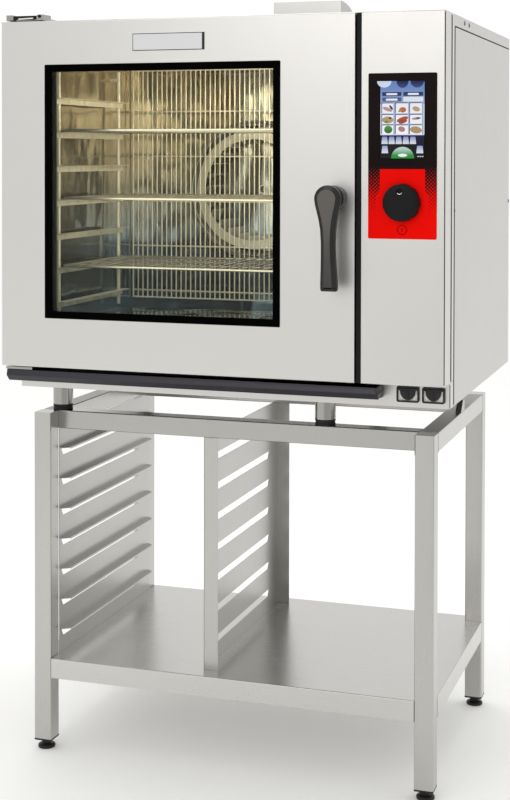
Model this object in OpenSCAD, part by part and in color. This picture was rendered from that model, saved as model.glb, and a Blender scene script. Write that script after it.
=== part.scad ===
// Combi steamer oven on an open stand.
// Built with X to the right from the door's left edge, Y backwards from the door's front face
// and Z up from the floor, then centred on its own footprint.

/* [Stand] */
// Width of the stand over its legs
stand_w = 889; // [740:1:1070]
// Depth of the stand over its legs
stand_d = 591; // [500:1:640]
// Height of the stand from the floor
stand_h = 741; // [620:1:900]
// How far the stand reaches out past the door's left edge
stand_left_out = 11; // [0:1:60]
// How far the stand's front is set back behind the door's face
stand_setback = 168; // [120:1:190]
// Side of a leg's square tube
leg_side = 40; // [30:1:50]
// Wall of the stand's tubes
tube_wall = 2; // [1:0.5:4]
// Height of the top rails
rail_h = 40; // [30:1:50]
// Height of the lower shelf's top face
shelf_top = 203; // [120:1:260]
// Depth of the lower shelf's turned-down edge
shelf_edge = 43; // [25:1:60]
// Sheet thickness of the shelf and slide panels
stand_sheet = 1.5; // [1:0.1:3]
// Clearance of the shelf's corner notches round the legs
notch_clearance = 0.2; // [0.1:0.1:1]

/* [Tray slides] */
// Number of tray levels in the stand
slide_levels = 7; // [4:1:7]
// Distance between two tray levels in the stand
slide_pitch = 67; // [56:1:80]
// Height of the lowest slide above the shelf
slide_first = 50; // [30:1:60]
// Width of a slide's ledge, and height of the slot it is pressed from
slide_ledge = 16; // [10:1:20]
// Clear width between the two slotted panels
slide_bay_w = 340; // [336:1:420]
// Plain sheet in front of the slots
slot_front_margin = 10; // [6:1:40]
// Plain sheet behind the slots
slot_back_margin = 66; // [20:1:90]
// Width of the middle panel's end flanges
panel_flange = 32; // [20:1:40]

/* [Stand feet] */
// Height of a levelling foot under its cap
foot_h = 19.5; // [14:0.5:30]
// Radius of a levelling foot's pad
foot_r = 19; // [12:0.5:20]
// Thickness of the cap's flange
cap_flange = 4; // [2:0.5:8]
// Length of the cap's plug in the tube
cap_plug = 26; // [15:1:40]
// Radius of the foot's spindle
spindle_r = 5; // [3:0.5:8]
// Radial clearance of a turning fit
run_clearance = 0.05; // [0.02:0.01:0.1]

/* [Oven body] */
// Height of the oven's casing
oven_h = 763; // [640:1:920]
// Depth of the oven from the door's face to its back
oven_d = 765; // [720:1:920]
// Height of an oven foot between stand and casing
oven_foot_h = 74; // [50:1:110]
// Radius of an oven foot
oven_foot_r = 22; // [15:0.5:30]
// Height of an oven foot's rubber pad
pad_h = 12; // [6:1:20]
// Distance between the left and right oven feet
oven_foot_span = 604; // [480:1:720]
// How far the casing's left side is set in from the door's left edge
casing_inset = 13; // [8:1:30]
// Sheet thickness of the casing
casing_sheet = 1.5; // [1:0.1:3]
// Height of the base strip under the door
base_strip_h = 51; // [44:1:80]
// Depth of the front frame's side return
frame_return = 31; // [20:1:50]
// Height of the top cover's rim
cover_rim = 23; // [15:1:40]
// Gap between two casing sheets
seam = 0.6; // [0.4:0.1:2]
// How far the screw heads stand out
screw_head = 1; // [0.5:0.1:2]

/* [Cavity] */
// Space between the casing's left edge and the cavity
cavity_side = 42; // [38:1:70]
// Space between the door's bottom edge and the cavity floor
cavity_rise = 79; // [60:1:110]
// Space between the cavity roof and the top of the oven
cavity_headroom = 68; // [55:1:110]
// Space between the cavity and the casing's back
motor_space = 138; // [132:1:200]
// Space between the cavity's right wall and the door's right edge
cavity_right = 105; // [100:1:140]
// Wall of the cavity
cavity_wall = 2; // [1:0.5:4]
// Thickness of the insulation
insulation_t = 28; // [20:1:34]
// Clearance round the insulation
insulation_clearance = 0.4; // [0.3:0.1:2]
// Depth of the fan space behind the guard
fan_space = 150; // [120:1:170]
// Number of rack levels
rack_levels = 7; // [4:1:7]
// Distance between two rack levels
rack_pitch = 72; // [60:1:76]
// Height of the lowest rack level above the cavity floor
rack_first = 47; // [30:1:60]
// Depth of a wire shelf
wire_shelf_d = 325; // [300:1:340]
// Space between the cavity's front edge and a wire shelf
shelf_front_gap = 41; // [38:1:60]
// Distance from the cavity wall to a rack's posts
rack_offset = 21; // [12:1:30]
// Distance between the wires of a shelf
shelf_wire_pitch = 24; // [15:1:40]
// Distance between the wires of the fan guard
guard_wire_pitch = 24.6; // [12:0.1:50]

/* [Fan] */
// Radius of the fan wheel
fan_r = 140; // [110:1:150]
// Depth of the fan wheel
fan_depth = 58; // [40:1:80]
// Number of fan blades
fan_blades = 24; // [12:1:36]
// Radius of the fan's shaft
fan_shaft_r = 8; // [6:0.5:12]
// Height of the fan's centre over the cavity's middle
fan_lift = -6; // [-20:1:20]
// How far the fan's centre lies right of the cavity's middle
fan_shift = 10; // [0:1:20]
// Radius of the heating element's tube
element_r = 4.5; // [3:0.5:6]
// Gap between fan wheel and heating element
element_gap = 14; // [10:1:20]

/* [Door] */
// Width of the door
door_w = 756; // [690:1:900]
// Thickness of the door
door_t = 58; // [50:1:60]
// Gap between the door and the oven's front
door_gap = 6; // [5:0.5:10]
// Gap between the door and the control column
column_gap = 13; // [8:1:20]
// Sheet of the door's shell
door_sheet = 1.5; // [1:0.1:3]
// Door's left edge to the window trim
window_left = 99.5; // [70:0.5:120]
// Door's right edge to the window trim
window_right = 149.5; // [130:0.5:170]
// Door's bottom edge to the window trim
window_below = 102; // [80:1:130]
// Door's top edge to the window trim
window_above = 90; // [70:1:120]
// Visible width of the black window trim
trim_w = 15; // [8:1:25]
// Thickness of the glass panes
glass_t = 4; // [3:0.5:6]
// Distance of the hinge axis from the door's left edge
hinge_in = 16; // [13:0.5:17]
// Distance of the hinge axis from the door's front face
hinge_back = 26; // [26:0.5:30]
// Radius of the hinge pins
hinge_pin_r = 6; // [4:0.5:8]
// Clearance between the door and the hinge brackets
hinge_clearance = 2; // [1:0.5:4]

/* [Handle] */
// Distance of the handle's axis from the door's right edge
handle_in = 39; // [34:1:60]
// Height of the handle's axis above the door's bottom edge
handle_up = 355; // [300:1:420]
// Length of the lever below its axis
handle_len = 157; // [120:1:170]
// Radius of the handle's hub
handle_hub_r = 26; // [18:1:30]
// How far the handle stands out from the door
handle_out = 62; // [50:1:80]
// Thickness of the lever
lever_t = 25; // [18:1:30]
// Radius of the latch spindle
latch_r = 8; // [6:0.5:10]

/* [Control column] */
// Width of the control column
column_w = 161; // [150:1:190]
// Width of the fascia
fascia_w = 133; // [125:1:140]
// Height of the fascia
fascia_h = 315; // [300:1:340]
// Distance of the fascia's top from the top of the column
fascia_drop = 118; // [90:1:160]
// Thickness of the fascia
fascia_t = 1.5; // [1:0.1:3]
// Width of the touch screen
screen_w = 86.5; // [70:0.5:110]
// Height of the touch screen
screen_h = 147.5; // [120:0.5:170]
// Distance of the screen's top from the fascia's top
screen_drop = 15; // [8:1:30]
// Height of the knob's centre above the fascia's bottom
knob_up = 69; // [60:1:80]
// Radius of the knob
knob_r = 37; // [25:1:42]
// Depth of the knob
knob_depth = 15; // [10:1:25]
// Push travel of the knob
knob_push = 2; // [1:0.5:3]
// Radius of the knob's shaft
knob_shaft_r = 3; // [2:0.5:4]
// Radius of the encoder's rotor
rotor_r = 8; // [6:0.5:10]

/* [Service ports] */
// Width of a port's bezel
port_w = 44.5; // [38:0.5:50]
// Height of a port's bezel
port_h = 31; // [26:0.5:34]
// Gap between the two ports
port_gap = 6; // [4:0.5:12]
// Right edge of the casing to the right port
port_margin = 9.5; // [6:0.5:20]

/* [Drip tray and vent] */
// How far the drip tray reaches past the door's right edge
tray_past = 44; // [20:1:60]
// Depth of the drip tray
tray_h = 28; // [20:1:35]
// Width of the vent cowl
cowl_w = 140; // [110:1:180]
// Depth of the vent cowl
cowl_d = 101; // [90:1:150]
// Height of the vent cowl
cowl_h = 31; // [25:1:50]
// Inner radius of the vent pipe
vent_r = 23.5; // [18:0.5:24]

/* [Connections] */
// Outer radius of the drain pipe
drain_r = 20; // [15:0.5:22]
// Outer radius of the water inlet
water_r = 13.2; // [8:0.1:16]
// Radius of the cable gland's bore
gland_r = 8; // [5:0.5:10]
// How far the connections stand out behind the oven
rear_out = 25; // [18:1:30]

/* [Hidden] */
$fn = 64;
eps = 0.01;
body_gap = 0.4;

// Stand
stand_x0 = -stand_left_out;
stand_x1 = stand_x0 + stand_w;
stand_y0 = stand_setback;
stand_y1 = stand_y0 + stand_d;
rail_z0 = stand_h - rail_h;
leg_z0 = foot_h + cap_flange;
panel_x0 = stand_x0 + leg_side;
middle_x0 = panel_x0 + stand_sheet + slide_bay_w;
panel_y0 = stand_y0 + leg_side;
panel_y1 = stand_y1 - leg_side;
leg_corners = [
  [stand_x0, stand_y0], [stand_x1 - leg_side, stand_y0],
  [stand_x0, stand_y1 - leg_side], [stand_x1 - leg_side, stand_y1 - leg_side]
];

// Oven casing
oven_w = door_w + column_gap + column_w;
oven_z0 = stand_h + oven_foot_h;
oven_z1 = oven_z0 + oven_h;
door_z0 = oven_z0 + base_strip_h;
door_z1 = oven_z1;
front_y = door_t + door_gap;
casing_y0 = front_y + frame_return;
column_x0 = door_w + column_gap;
cover_z0 = oven_z1 - cover_rim;
panel_face = oven_d - casing_sheet - seam;
panel_turn = cavity_side - cavity_wall - insulation_t - insulation_clearance;
foot_x = stand_x0 + leg_side + 1;
foot_places = [
  for (x = [foot_x, foot_x + oven_foot_span], y = [panel_y0 + leg_side / 2, panel_y1 - leg_side / 2]) [x, y]
];

// Cavity
cavity_x0 = casing_inset + cavity_side;
cavity_x1 = door_w - cavity_right;
cavity_y0 = front_y + casing_sheet;
cavity_y1 = oven_d - motor_space;
cavity_z0 = door_z0 + cavity_rise;
cavity_z1 = oven_z1 - cavity_headroom;
cavity_mid = (cavity_x0 + cavity_x1) / 2;
guard_y = cavity_y1 - fan_space;
drain_y = cavity_y0 + 234;
drain_z = (door_z0 + cavity_z0) / 2 - 16;
rack_x = [cavity_x0 + rack_offset, cavity_x1 - rack_offset];
rack_y0 = cavity_y0 + shelf_front_gap;
rack_y1 = rack_y0 + wire_shelf_d;
level_z = [for (i = [0 : rack_levels - 1]) cavity_z0 + rack_first + i * rack_pitch];
post_r = 4;
ledge_w = 20;
ledge_t = 1.5;
shelf_t = 6;
wire_w = 3;
lamp_lens_r = 25.5;
lamp_y = guard_y - lamp_lens_r - 6;
lamp_z = cavity_z1 - 60;

// Fan
fan_x = cavity_mid + fan_shift;
fan_z = (cavity_z0 + cavity_z1) / 2 + fan_lift;
fan_y1 = cavity_y1 - 16;
fan_y0 = fan_y1 - fan_depth;
motor_hole_r = 66;
motor_r = 60;
element_ring = fan_r + element_gap;

// Door
door_body_y = door_t - 2;
window_x0 = window_left;
window_x1 = door_w - window_right;
window_z0 = door_z0 + window_below;
window_z1 = door_z1 - window_above;
trim_lap = 1.6;
trim_out = 1;
handle_x = door_w - handle_in;
handle_z = door_z0 + handle_up;
bracket_t = 5;
latch_grip = 6;

// Column
fascia_x = column_x0 + (column_w - fascia_w) / 2;
fascia_z1 = oven_z1 - fascia_drop;
fascia_z0 = fascia_z1 - fascia_h;
screen_x = fascia_x + (fascia_w - screen_w) / 2;
screen_z1 = fascia_z1 - screen_drop;
knob_x = fascia_x + fascia_w / 2;
knob_z = fascia_z0 + knob_up;
knob_back = -fascia_t - knob_push - 0.5;
encoder_d = 26;

// Ports
port_x1 = oven_w - port_margin;
port_x = [port_x1 - 2 * port_w - port_gap, port_x1 - port_w];
port_z0 = oven_z0 + (base_strip_h - port_h) / 2;
bezel_t = 5.5;
flap_t = 2.4;
flap_pivot_y = front_y - 3.6;
flap_pivot_z = port_z0 + port_h - 5.5;
pivot_pin_r = 1;
barrel_r = 2;

// Vent
cowl_x1 = column_x0 - 62;
cowl_x0 = cowl_x1 - cowl_w;
cowl_y0 = front_y + 16;
vent_x = min((cowl_x0 + cowl_x1) / 2, cavity_x1 - vent_r - 16);
vent_y = cowl_y0 + 45;
damper_z = oven_z1 - 19;
damper_pin_r = 2.5;

// Whole object's footprint
front_reach = handle_out;
mid_x = (stand_x0 + oven_w + screw_head) / 2;
mid_y = (-front_reach + oven_d + rear_out) / 2;

module placed() {
  translate([-mid_x, -mid_y, 0]) children();
}

// A block from one corner to the opposite one
module block(low, high) {
  translate(low) cube(high - low);
}

// A cylinder along Y from y0 to y1
module bar_y(x, z, y0, y1, r) {
  translate([x, y0, z]) rotate([-90, 0, 0]) cylinder(h = y1 - y0, r = r);
}

// A cylinder along X from x0 to x1
module bar_x(y, z, x0, x1, r) {
  translate([x0, y, z]) rotate([0, 90, 0]) cylinder(h = x1 - x0, r = r);
}

// A cylinder along Z from z0 to z1
module bar_z(x, y, z0, z1, r) {
  translate([x, y, z0]) cylinder(h = z1 - z0, r = r);
}

// A plate in the XZ plane with rounded corners
module round_plate(x0, x1, z0, z1, y0, y1, r) {
  translate([0, y1, 0]) rotate([90, 0, 0]) linear_extrude(y1 - y0) {
    translate([x0 + r, z0]) square([x1 - x0 - 2 * r, z1 - z0]);
    translate([x0, z0 + r]) square([x1 - x0, z1 - z0 - 2 * r]);
    for (x = [x0 + r, x1 - r], z = [z0 + r, z1 - r]) translate([x, z]) circle(r = r, $fn = 32);
  }
}

// ---- Stand ----

module stand_legs() {
  color("gainsboro") placed() for (c = leg_corners) difference() {
    block([c.x, c.y, leg_z0], [c.x + leg_side, c.y + leg_side, stand_h]);
    block([c.x + tube_wall, c.y + tube_wall, leg_z0 - 1],
          [c.x + leg_side - tube_wall, c.y + leg_side - tube_wall, stand_h - tube_wall]);
  }
}

module cross_rails() {
  color("gainsboro") placed() for (y = [panel_y0, panel_y1 - leg_side]) difference() {
    block([panel_x0, y, rail_z0], [stand_x1 - leg_side, y + leg_side, stand_h]);
    block([panel_x0 - 1, y + tube_wall, rail_z0 + tube_wall],
          [stand_x1 - leg_side + 1, y + leg_side - tube_wall, stand_h - tube_wall]);
  }
}

module side_rails() {
  color("gainsboro") placed() for (x = [stand_x0, stand_x1 - leg_side]) difference() {
    block([x, panel_y0, rail_z0], [x + leg_side, panel_y1, stand_h]);
    block([x + tube_wall, panel_y0 - 1, rail_z0 + tube_wall],
          [x + leg_side - tube_wall, panel_y1 + 1, stand_h - tube_wall]);
  }
}

// The shelf's outline, drawn in by some distance all round
module shelf_outline(inset) {
  notch = leg_side + notch_clearance + inset;
  difference() {
    translate([stand_x0 + inset, stand_y0 + inset]) square([stand_w - 2 * inset, stand_d - 2 * inset]);
    for (x = [stand_x0 - 1, stand_x1 - notch], y = [stand_y0 - 1, stand_y1 - notch])
      translate([x, y]) square([notch + 1, notch + 1]);
  }
}

module lower_shelf() {
  color("silver") placed() difference() {
    translate([0, 0, shelf_top - shelf_edge]) linear_extrude(shelf_edge) shelf_outline(0);
    translate([0, 0, shelf_top - shelf_edge - 1]) linear_extrude(shelf_edge + 1 - stand_sheet)
      shelf_outline(stand_sheet);
  }
}

// A slotted sheet with a ledge over each slot; side is 1 for ledges to the right, -1 to the left
module slide_sheet(x, side) {
  difference() {
    block([x, panel_y0, shelf_top], [x + stand_sheet, panel_y1, rail_z0]);
    for (i = [0 : slide_levels - 1]) {
      top = shelf_top + slide_first + i * slide_pitch;
      block([x - 1, panel_y0 + slot_front_margin, top - slide_ledge],
            [x + stand_sheet + 1, panel_y1 - slot_back_margin, top]);
    }
  }
  for (i = [0 : slide_levels - 1]) {
    top = shelf_top + slide_first + i * slide_pitch;
    ledge_x = side > 0 ? x + stand_sheet - eps : x - slide_ledge;
    block([ledge_x, panel_y0 + 3, top], [ledge_x + slide_ledge + eps, panel_y1 - 3, top + stand_sheet]);
  }
}

module slide_panel_left() {
  color("silver") placed() slide_sheet(panel_x0, 1);
}

module slide_panel_middle() {
  color("silver") placed() {
    slide_sheet(middle_x0, -1);
    for (y = [panel_y0, panel_y1 - stand_sheet])
      block([middle_x0, y, shelf_top], [middle_x0 + panel_flange, y + stand_sheet, rail_z0]);
  }
}

module foot_caps() {
  plug = leg_side - 2 * tube_wall - 0.4;
  color("dimgray") placed() for (c = leg_corners) difference() {
    union() {
      block([c.x, c.y, foot_h], [c.x + leg_side, c.y + leg_side, leg_z0]);
      translate([c.x + leg_side / 2, c.y + leg_side / 2, leg_z0 + cap_plug / 2 - eps])
        cube([plug, plug, cap_plug], center = true);
    }
    bar_z(c.x + leg_side / 2, c.y + leg_side / 2, foot_h - 1, leg_z0 + cap_plug + 1, spindle_r + run_clearance);
  }
}

module level_foot(i) {
  x = leg_corners[i].x + leg_side / 2;
  y = leg_corners[i].y + leg_side / 2;
  pad_top = foot_h - 6;
  color("dimgray") placed() {
    bar_z(x, y, 0, pad_top - 4, foot_r);
    translate([x, y, pad_top - 4 - eps]) cylinder(h = 4, r1 = foot_r, r2 = foot_r - 5);
    translate([x, y, pad_top - eps * 2]) cylinder(h = foot_h - pad_top - body_gap, r = 9, $fn = 6);
    bar_z(x, y, pad_top - 1, leg_z0 + cap_plug - 4, spindle_r);
  }
}

module level_foot_fl() { level_foot(0); }
module level_foot_fr() { level_foot(1); }
module level_foot_bl() { level_foot(2); }
module level_foot_br() { level_foot(3); }

// ---- Oven casing ----

module oven_feet() {
  color("silver") placed() for (p = foot_places) bar_z(p.x, p.y, stand_h + pad_h, oven_z0, oven_foot_r);
}

module oven_foot_pads() {
  color("black") placed() for (p = foot_places) {
    bar_z(p.x, p.y, stand_h, stand_h + pad_h * 0.35, oven_foot_r - 1);
    bar_z(p.x, p.y, stand_h + pad_h * 0.35 - eps, stand_h + pad_h * 0.65 + eps, oven_foot_r - 3);
    bar_z(p.x, p.y, stand_h + pad_h * 0.65, stand_h + pad_h, oven_foot_r - 1);
  }
}

module base_pan() {
  inner = casing_sheet + seam;
  color("silver") placed() difference() {
    union() {
      block([casing_inset, front_y, oven_z0], [oven_w, casing_y0 - seam, oven_z0 + casing_sheet]);
      block([casing_inset + inner, casing_y0 - seam - eps, oven_z0],
            [oven_w - inner, oven_d, oven_z0 + casing_sheet]);
      block([casing_inset, front_y, oven_z0], [oven_w, front_y + casing_sheet, door_z0]);
      for (x = [casing_inset, oven_w - casing_sheet])
        block([x, front_y, oven_z0], [x + casing_sheet, casing_y0 - seam, door_z0]);
    }
    for (x = port_x) block([x + 3, front_y - 1, port_z0 + 3],
                           [x + port_w - 3, front_y + casing_sheet + 1, port_z0 + port_h - 3]);
  }
}

// A side sheet with short turned-in edges at its front and back
module side_panel(x, inward) {
  low = oven_z0;
  high = cover_z0 - seam;
  block([x, casing_y0, low], [x + casing_sheet, oven_d, high]);
  for (y = [casing_y0, oven_d - casing_sheet]) {
    near = inward > 0 ? x : x - panel_turn + casing_sheet;
    block([near, y, low + 8], [near + panel_turn, y + casing_sheet, high - 2]);
  }
}

module side_panel_left() {
  color("silver") placed() side_panel(casing_inset, 1);
}

module side_panel_right() {
  color("silver") placed() side_panel(oven_w - casing_sheet, -1);
}

module top_cover() {
  color("silver") placed() difference() {
    block([casing_inset, casing_y0, cover_z0], [oven_w, oven_d, oven_z1]);
    block([casing_inset + casing_sheet, casing_y0 + casing_sheet, cover_z0 - 1],
          [oven_w - casing_sheet, oven_d - casing_sheet, oven_z1 - casing_sheet]);
    bar_z(vent_x, vent_y, oven_z1 - 10, oven_z1 + 1, vent_r + 2.5);
    for (i = [0, 1]) bar_x(casing_y0 + 105 + 49 * i, oven_z1 - 10, oven_w - 5, oven_w + 1, 2);
  }
}

module back_panel() {
  edge = casing_inset + panel_turn + seam + 2;
  color("silver") placed() difference() {
    block([edge, panel_face - casing_sheet, oven_z0 + casing_sheet],
          [oven_w - edge + casing_inset, panel_face, cover_z0 - seam]);
    bar_y(cavity_mid, drain_z, oven_d - 20, oven_d + 1, drain_r + 1);
    bar_y(column_x0 + 30, oven_z0 + 85, oven_d - 20, oven_d + 1, water_r + 0.3);
    bar_y(column_x0 + 90, oven_z0 + 85, oven_d - 20, oven_d + 1, gland_r + 4.3);
    for (i = [0 : 9], x = [cavity_mid - 150, cavity_mid + 70])
      block([x, oven_d - 20, fan_z - 60 + i * 14], [x + 80, oven_d + 1, fan_z - 54 + i * 14]);
  }
}

module front_frame() {
  color("silver") placed() difference() {
    union() {
      block([casing_inset, front_y, door_z0 + seam], [oven_w, front_y + casing_sheet, oven_z1]);
      block([casing_inset, front_y, oven_z1 - casing_sheet], [oven_w, casing_y0 - seam, oven_z1]);
      for (x = [casing_inset, oven_w - casing_sheet])
        block([x, front_y, door_z0 + seam], [x + casing_sheet, casing_y0 - seam, oven_z1]);
    }
    block([cavity_x0, front_y - 1, cavity_z0], [cavity_x1, front_y + casing_sheet + 1, cavity_z1]);
    block([handle_x - 28, front_y - 1, handle_z - 38], [handle_x + 36, front_y + casing_sheet + 1, handle_z + 20]);
    block([column_x0 + 12, front_y - 1, door_z0 + 30], [oven_w - 12, front_y + casing_sheet + 1, oven_z1 - 30]);
  }
}

module side_screws() {
  color("dimgray") placed() {
    for (i = [0, 1]) bar_x(casing_y0 + 105 + 49 * i, oven_z1 - 10, oven_w - 3, oven_w, 1.9);
    for (i = [0, 1]) bar_x(casing_y0 + 105 + 49 * i, oven_z1 - 10, oven_w, oven_w + screw_head, 4);
    for (y = [casing_y0 + 6, oven_d - 6]) bar_x(y, (oven_z0 + oven_z1) / 2, oven_w, oven_w + screw_head, 3.5);
  }
}

module cavity() {
  w = cavity_wall;
  flange = 14;
  color("lightgray") placed() difference() {
    union() {
      block([cavity_x0 - w, cavity_y0, cavity_z0 - w], [cavity_x1 + w, cavity_y1 + w, cavity_z1 + w]);
      block([cavity_x0 - flange, cavity_y0, cavity_z0 - flange],
            [cavity_x1 + flange, cavity_y0 + w, cavity_z1 + flange]);
    }
    block([cavity_x0, cavity_y0 - 1, cavity_z0], [cavity_x1, cavity_y1, cavity_z1]);
    bar_y(fan_x, fan_z, cavity_y1 - 1, cavity_y1 + w + 1, fan_shaft_r + 3);
    for (s = [-1, 1]) bar_y(fan_x + s * 20, fan_z - element_ring, cavity_y1 - 1, cavity_y1 + w + 1, element_r + 0.3);
    bar_z(cavity_mid, drain_y, cavity_z0 - w - 1, cavity_z0 + 1, drain_r - 2);
    bar_z(vent_x, vent_y, cavity_z1 - 1, cavity_z1 + w + 1, vent_r);
    bar_x(lamp_y, lamp_z, cavity_x1 - 1, cavity_x1 + w + 1, lamp_lens_r + 0.5);
  }
}

module insulation() {
  c = cavity_wall + insulation_clearance;
  o = cavity_wall + insulation_t;
  color("khaki") placed() difference() {
    block([cavity_x0 - o, cavity_y0 + 4, cavity_z0 - o], [cavity_x1 + o, cavity_y1 + o, cavity_z1 + o]);
    block([cavity_x0 - c, cavity_y0 - 1, cavity_z0 - c], [cavity_x1 + c, cavity_y1 + c, cavity_z1 + c]);
    bar_y(fan_x, fan_z, cavity_y1, cavity_y1 + o + 1, motor_hole_r);
    for (s = [-1, 1]) bar_y(fan_x + s * 20, fan_z - element_ring, cavity_y1, cavity_y1 + o + 1, element_r + 8);
    bar_z(cavity_mid, drain_y, cavity_z0 - o - 1, cavity_z0, drain_r + 8);
    bar_z(vent_x, vent_y, cavity_z1, cavity_z1 + o + 1, vent_r + 8);
    bar_x(lamp_y, lamp_z, cavity_x1, cavity_x1 + o + 1, 38);
  }
}

module door_gasket() {
  gap = 3;
  wide = 14;
  color("black") placed() difference() {
    round_plate(cavity_x0 - gap - wide, cavity_x1 + gap + wide, cavity_z0 - gap - wide, cavity_z1 + gap + wide,
                door_t + body_gap, front_y, 12);
    round_plate(cavity_x0 - gap, cavity_x1 + gap, cavity_z0 - gap, cavity_z1 + gap, door_t - 1, front_y + 1, 4);
  }
}

module vent_pipe() {
  color("silver") placed() difference() {
    union() {
      bar_z(vent_x, vent_y, cavity_z1 + cavity_wall, oven_z1 + 10, vent_r + 1.5);
      bar_z(vent_x, vent_y, cavity_z1 + cavity_wall, cavity_z1 + cavity_wall + 2, vent_r + 6);
    }
    bar_z(vent_x, vent_y, cavity_z1, oven_z1 + 11, vent_r);
    bar_x(vent_y, damper_z, vent_x - 40, vent_x + 40, damper_pin_r + run_clearance);
  }
}

module vent_damper() {
  color("gray") placed() {
    bar_z(vent_x, vent_y, damper_z - 0.75, damper_z + 0.75, vent_r - 0.4);
    bar_x(vent_y, damper_z, vent_x - vent_r - 4, vent_x + vent_r + 12, damper_pin_r);
  }
}

// A quarter ellipse that is tall at the front and runs out at the back
function cowl_side(inset, steps = 14) = concat(
  [[inset, -1]],
  [for (i = [0 : steps]) let (a = 90 - 90 * i / steps)
     [inset + (cowl_d - 2 * inset) * cos(a), (cowl_h - inset) * sin(a)]],
  [[cowl_d - inset, -1]]
);

module vent_cowl() {
  color("silver") placed() translate([0, cowl_y0, oven_z1]) difference() {
    intersection() {
      translate([cowl_x0, 0, 0]) rotate([90, 0, 90]) linear_extrude(cowl_w) polygon(cowl_side(0));
      translate([cowl_x0, 0, 0]) cube([cowl_w, cowl_d, cowl_h]);
    }
    translate([cowl_x0 + 1.5, 0, 0]) rotate([90, 0, 90]) linear_extrude(cowl_w - 3) polygon(cowl_side(1.5));
    translate([cowl_x0 + 10, -1, -1]) cube([cowl_w - 20, 4, 7]);
  }
}

module drain_pipe() {
  bore_r = drain_r - 2;
  color("silver") placed() difference() {
    union() {
      bar_z(cavity_mid, drain_y, drain_z, cavity_z0 - cavity_wall, drain_r - 0.5);
      translate([cavity_mid, drain_y, drain_z]) sphere(r = drain_r - 0.5);
      bar_y(cavity_mid, drain_z, drain_y, oven_d, drain_r - 0.5);
      bar_y(cavity_mid, drain_z, panel_face, oven_d + rear_out, drain_r);
    }
    bar_z(cavity_mid, drain_y, drain_z, cavity_z0 + 1, bore_r);
    translate([cavity_mid, drain_y, drain_z]) sphere(r = bore_r);
    bar_y(cavity_mid, drain_z, drain_y, oven_d + rear_out + 1, bore_r);
  }
}

module drain_strainer() {
  color("gray") placed() difference() {
    bar_z(cavity_mid, drain_y, cavity_z0, cavity_z0 + 3, drain_r + 8);
    for (ring = [0, 1], i = [0 : 5 + ring * 6]) {
      a = i * 360 / (6 + ring * 6);
      bar_z(cavity_mid + (7 + ring * 7) * cos(a), drain_y + (7 + ring * 7) * sin(a),
            cavity_z0 - 1, cavity_z0 + 4, 1.6);
    }
  }
}

module water_inlet() {
  y = panel_face;
  color("goldenrod") placed() difference() {
    union() {
      bar_y(column_x0 + 30, oven_z0 + 85, y - 30, oven_d + rear_out, water_r);
      bar_y(column_x0 + 30, oven_z0 + 85, y, y + 3.5, water_r + 4);
    }
    bar_y(column_x0 + 30, oven_z0 + 85, y - 31, oven_d + rear_out + 1, water_r - 3.5);
  }
}

module cable_gland() {
  y = panel_face;
  color("dimgray") placed() difference() {
    union() {
      bar_y(column_x0 + 90, oven_z0 + 85, y - 14, y + 18, gland_r + 4);
      translate([column_x0 + 90, y, oven_z0 + 85]) rotate([-90, 0, 0]) cylinder(h = 8, r = gland_r + 8, $fn = 6);
    }
    bar_y(column_x0 + 90, oven_z0 + 85, y - 15, y + 19, gland_r);
  }
}

// The gutter's section, seen from its end: back wall, floor, bevelled front and lip
module tray_section(inset) {
  back = front_y - 2 - inset;
  top = inset > 0 ? tray_h + 1 : tray_h;
  translate([0, 0]) polygon([
    [back, top], [back, inset], [18 + inset / 2, 4 + inset], [6 + inset, 16 + inset / 2], [6 + inset, top]
  ]);
}

module drip_tray() {
  z0 = door_z0 - tray_h - 8;
  x0 = 8;
  x1 = door_w + tray_past;
  color("darkslategray") placed() difference() {
    translate([x0, 0, z0]) rotate([90, 0, 90]) linear_extrude(x1 - x0) tray_section(0);
    translate([x0 + 2, 0, z0]) rotate([90, 0, 90]) linear_extrude(x1 - x0 - 4) tray_section(2);
  }
}

module hinge_brackets() {
  x1 = 92;
  low_top = door_z0 - hinge_clearance;
  high_bottom = door_z1 + hinge_clearance;
  color("silver") placed() {
    block([6, 8, low_top - bracket_t], [66, front_y, low_top]);
    block([casing_inset + 2, front_y - 3, low_top - bracket_t - 0.5], [66, front_y, low_top]);
    bar_z(hinge_in, hinge_back, low_top - 1, door_z0 + 20, hinge_pin_r);
    block([8, 8, high_bottom], [x1, front_y + 24, high_bottom + bracket_t]);
    block([casing_inset + 2, front_y + 2, door_z1], [x1, front_y + 24, high_bottom + 1]);
    for (x = [8, x1 - 14]) block([x, 8, high_bottom + bracket_t - 1], [x + 14, 44, high_bottom + bracket_t + 7]);
    block([20, 8, high_bottom + bracket_t - 1], [x1 - 12, 30, high_bottom + bracket_t + 5]);
    bar_z(hinge_in, hinge_back, door_z1 - 20, high_bottom + 1, hinge_pin_r);
  }
}

module latch_striker() {
  roller_x = handle_x + 21;
  roller_z = handle_z + 17;
  color("gray") placed() {
    block([handle_x - 20, front_y + casing_sheet, handle_z + 21],
          [handle_x + 34, front_y + casing_sheet + 3, handle_z + 44]);
    block([roller_x - 7, front_y + casing_sheet, handle_z + 19],
          [roller_x + 7, front_y + casing_sheet + 22, handle_z + 26]);
    block([roller_x - 7, front_y + casing_sheet + 19, roller_z - 2],
          [roller_x + 7, front_y + casing_sheet + 22, handle_z + 26]);
    bar_y(roller_x, roller_z, front_y + casing_sheet + 4, front_y + casing_sheet + 20, 5);
  }
}

// ---- Control column ----

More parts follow.
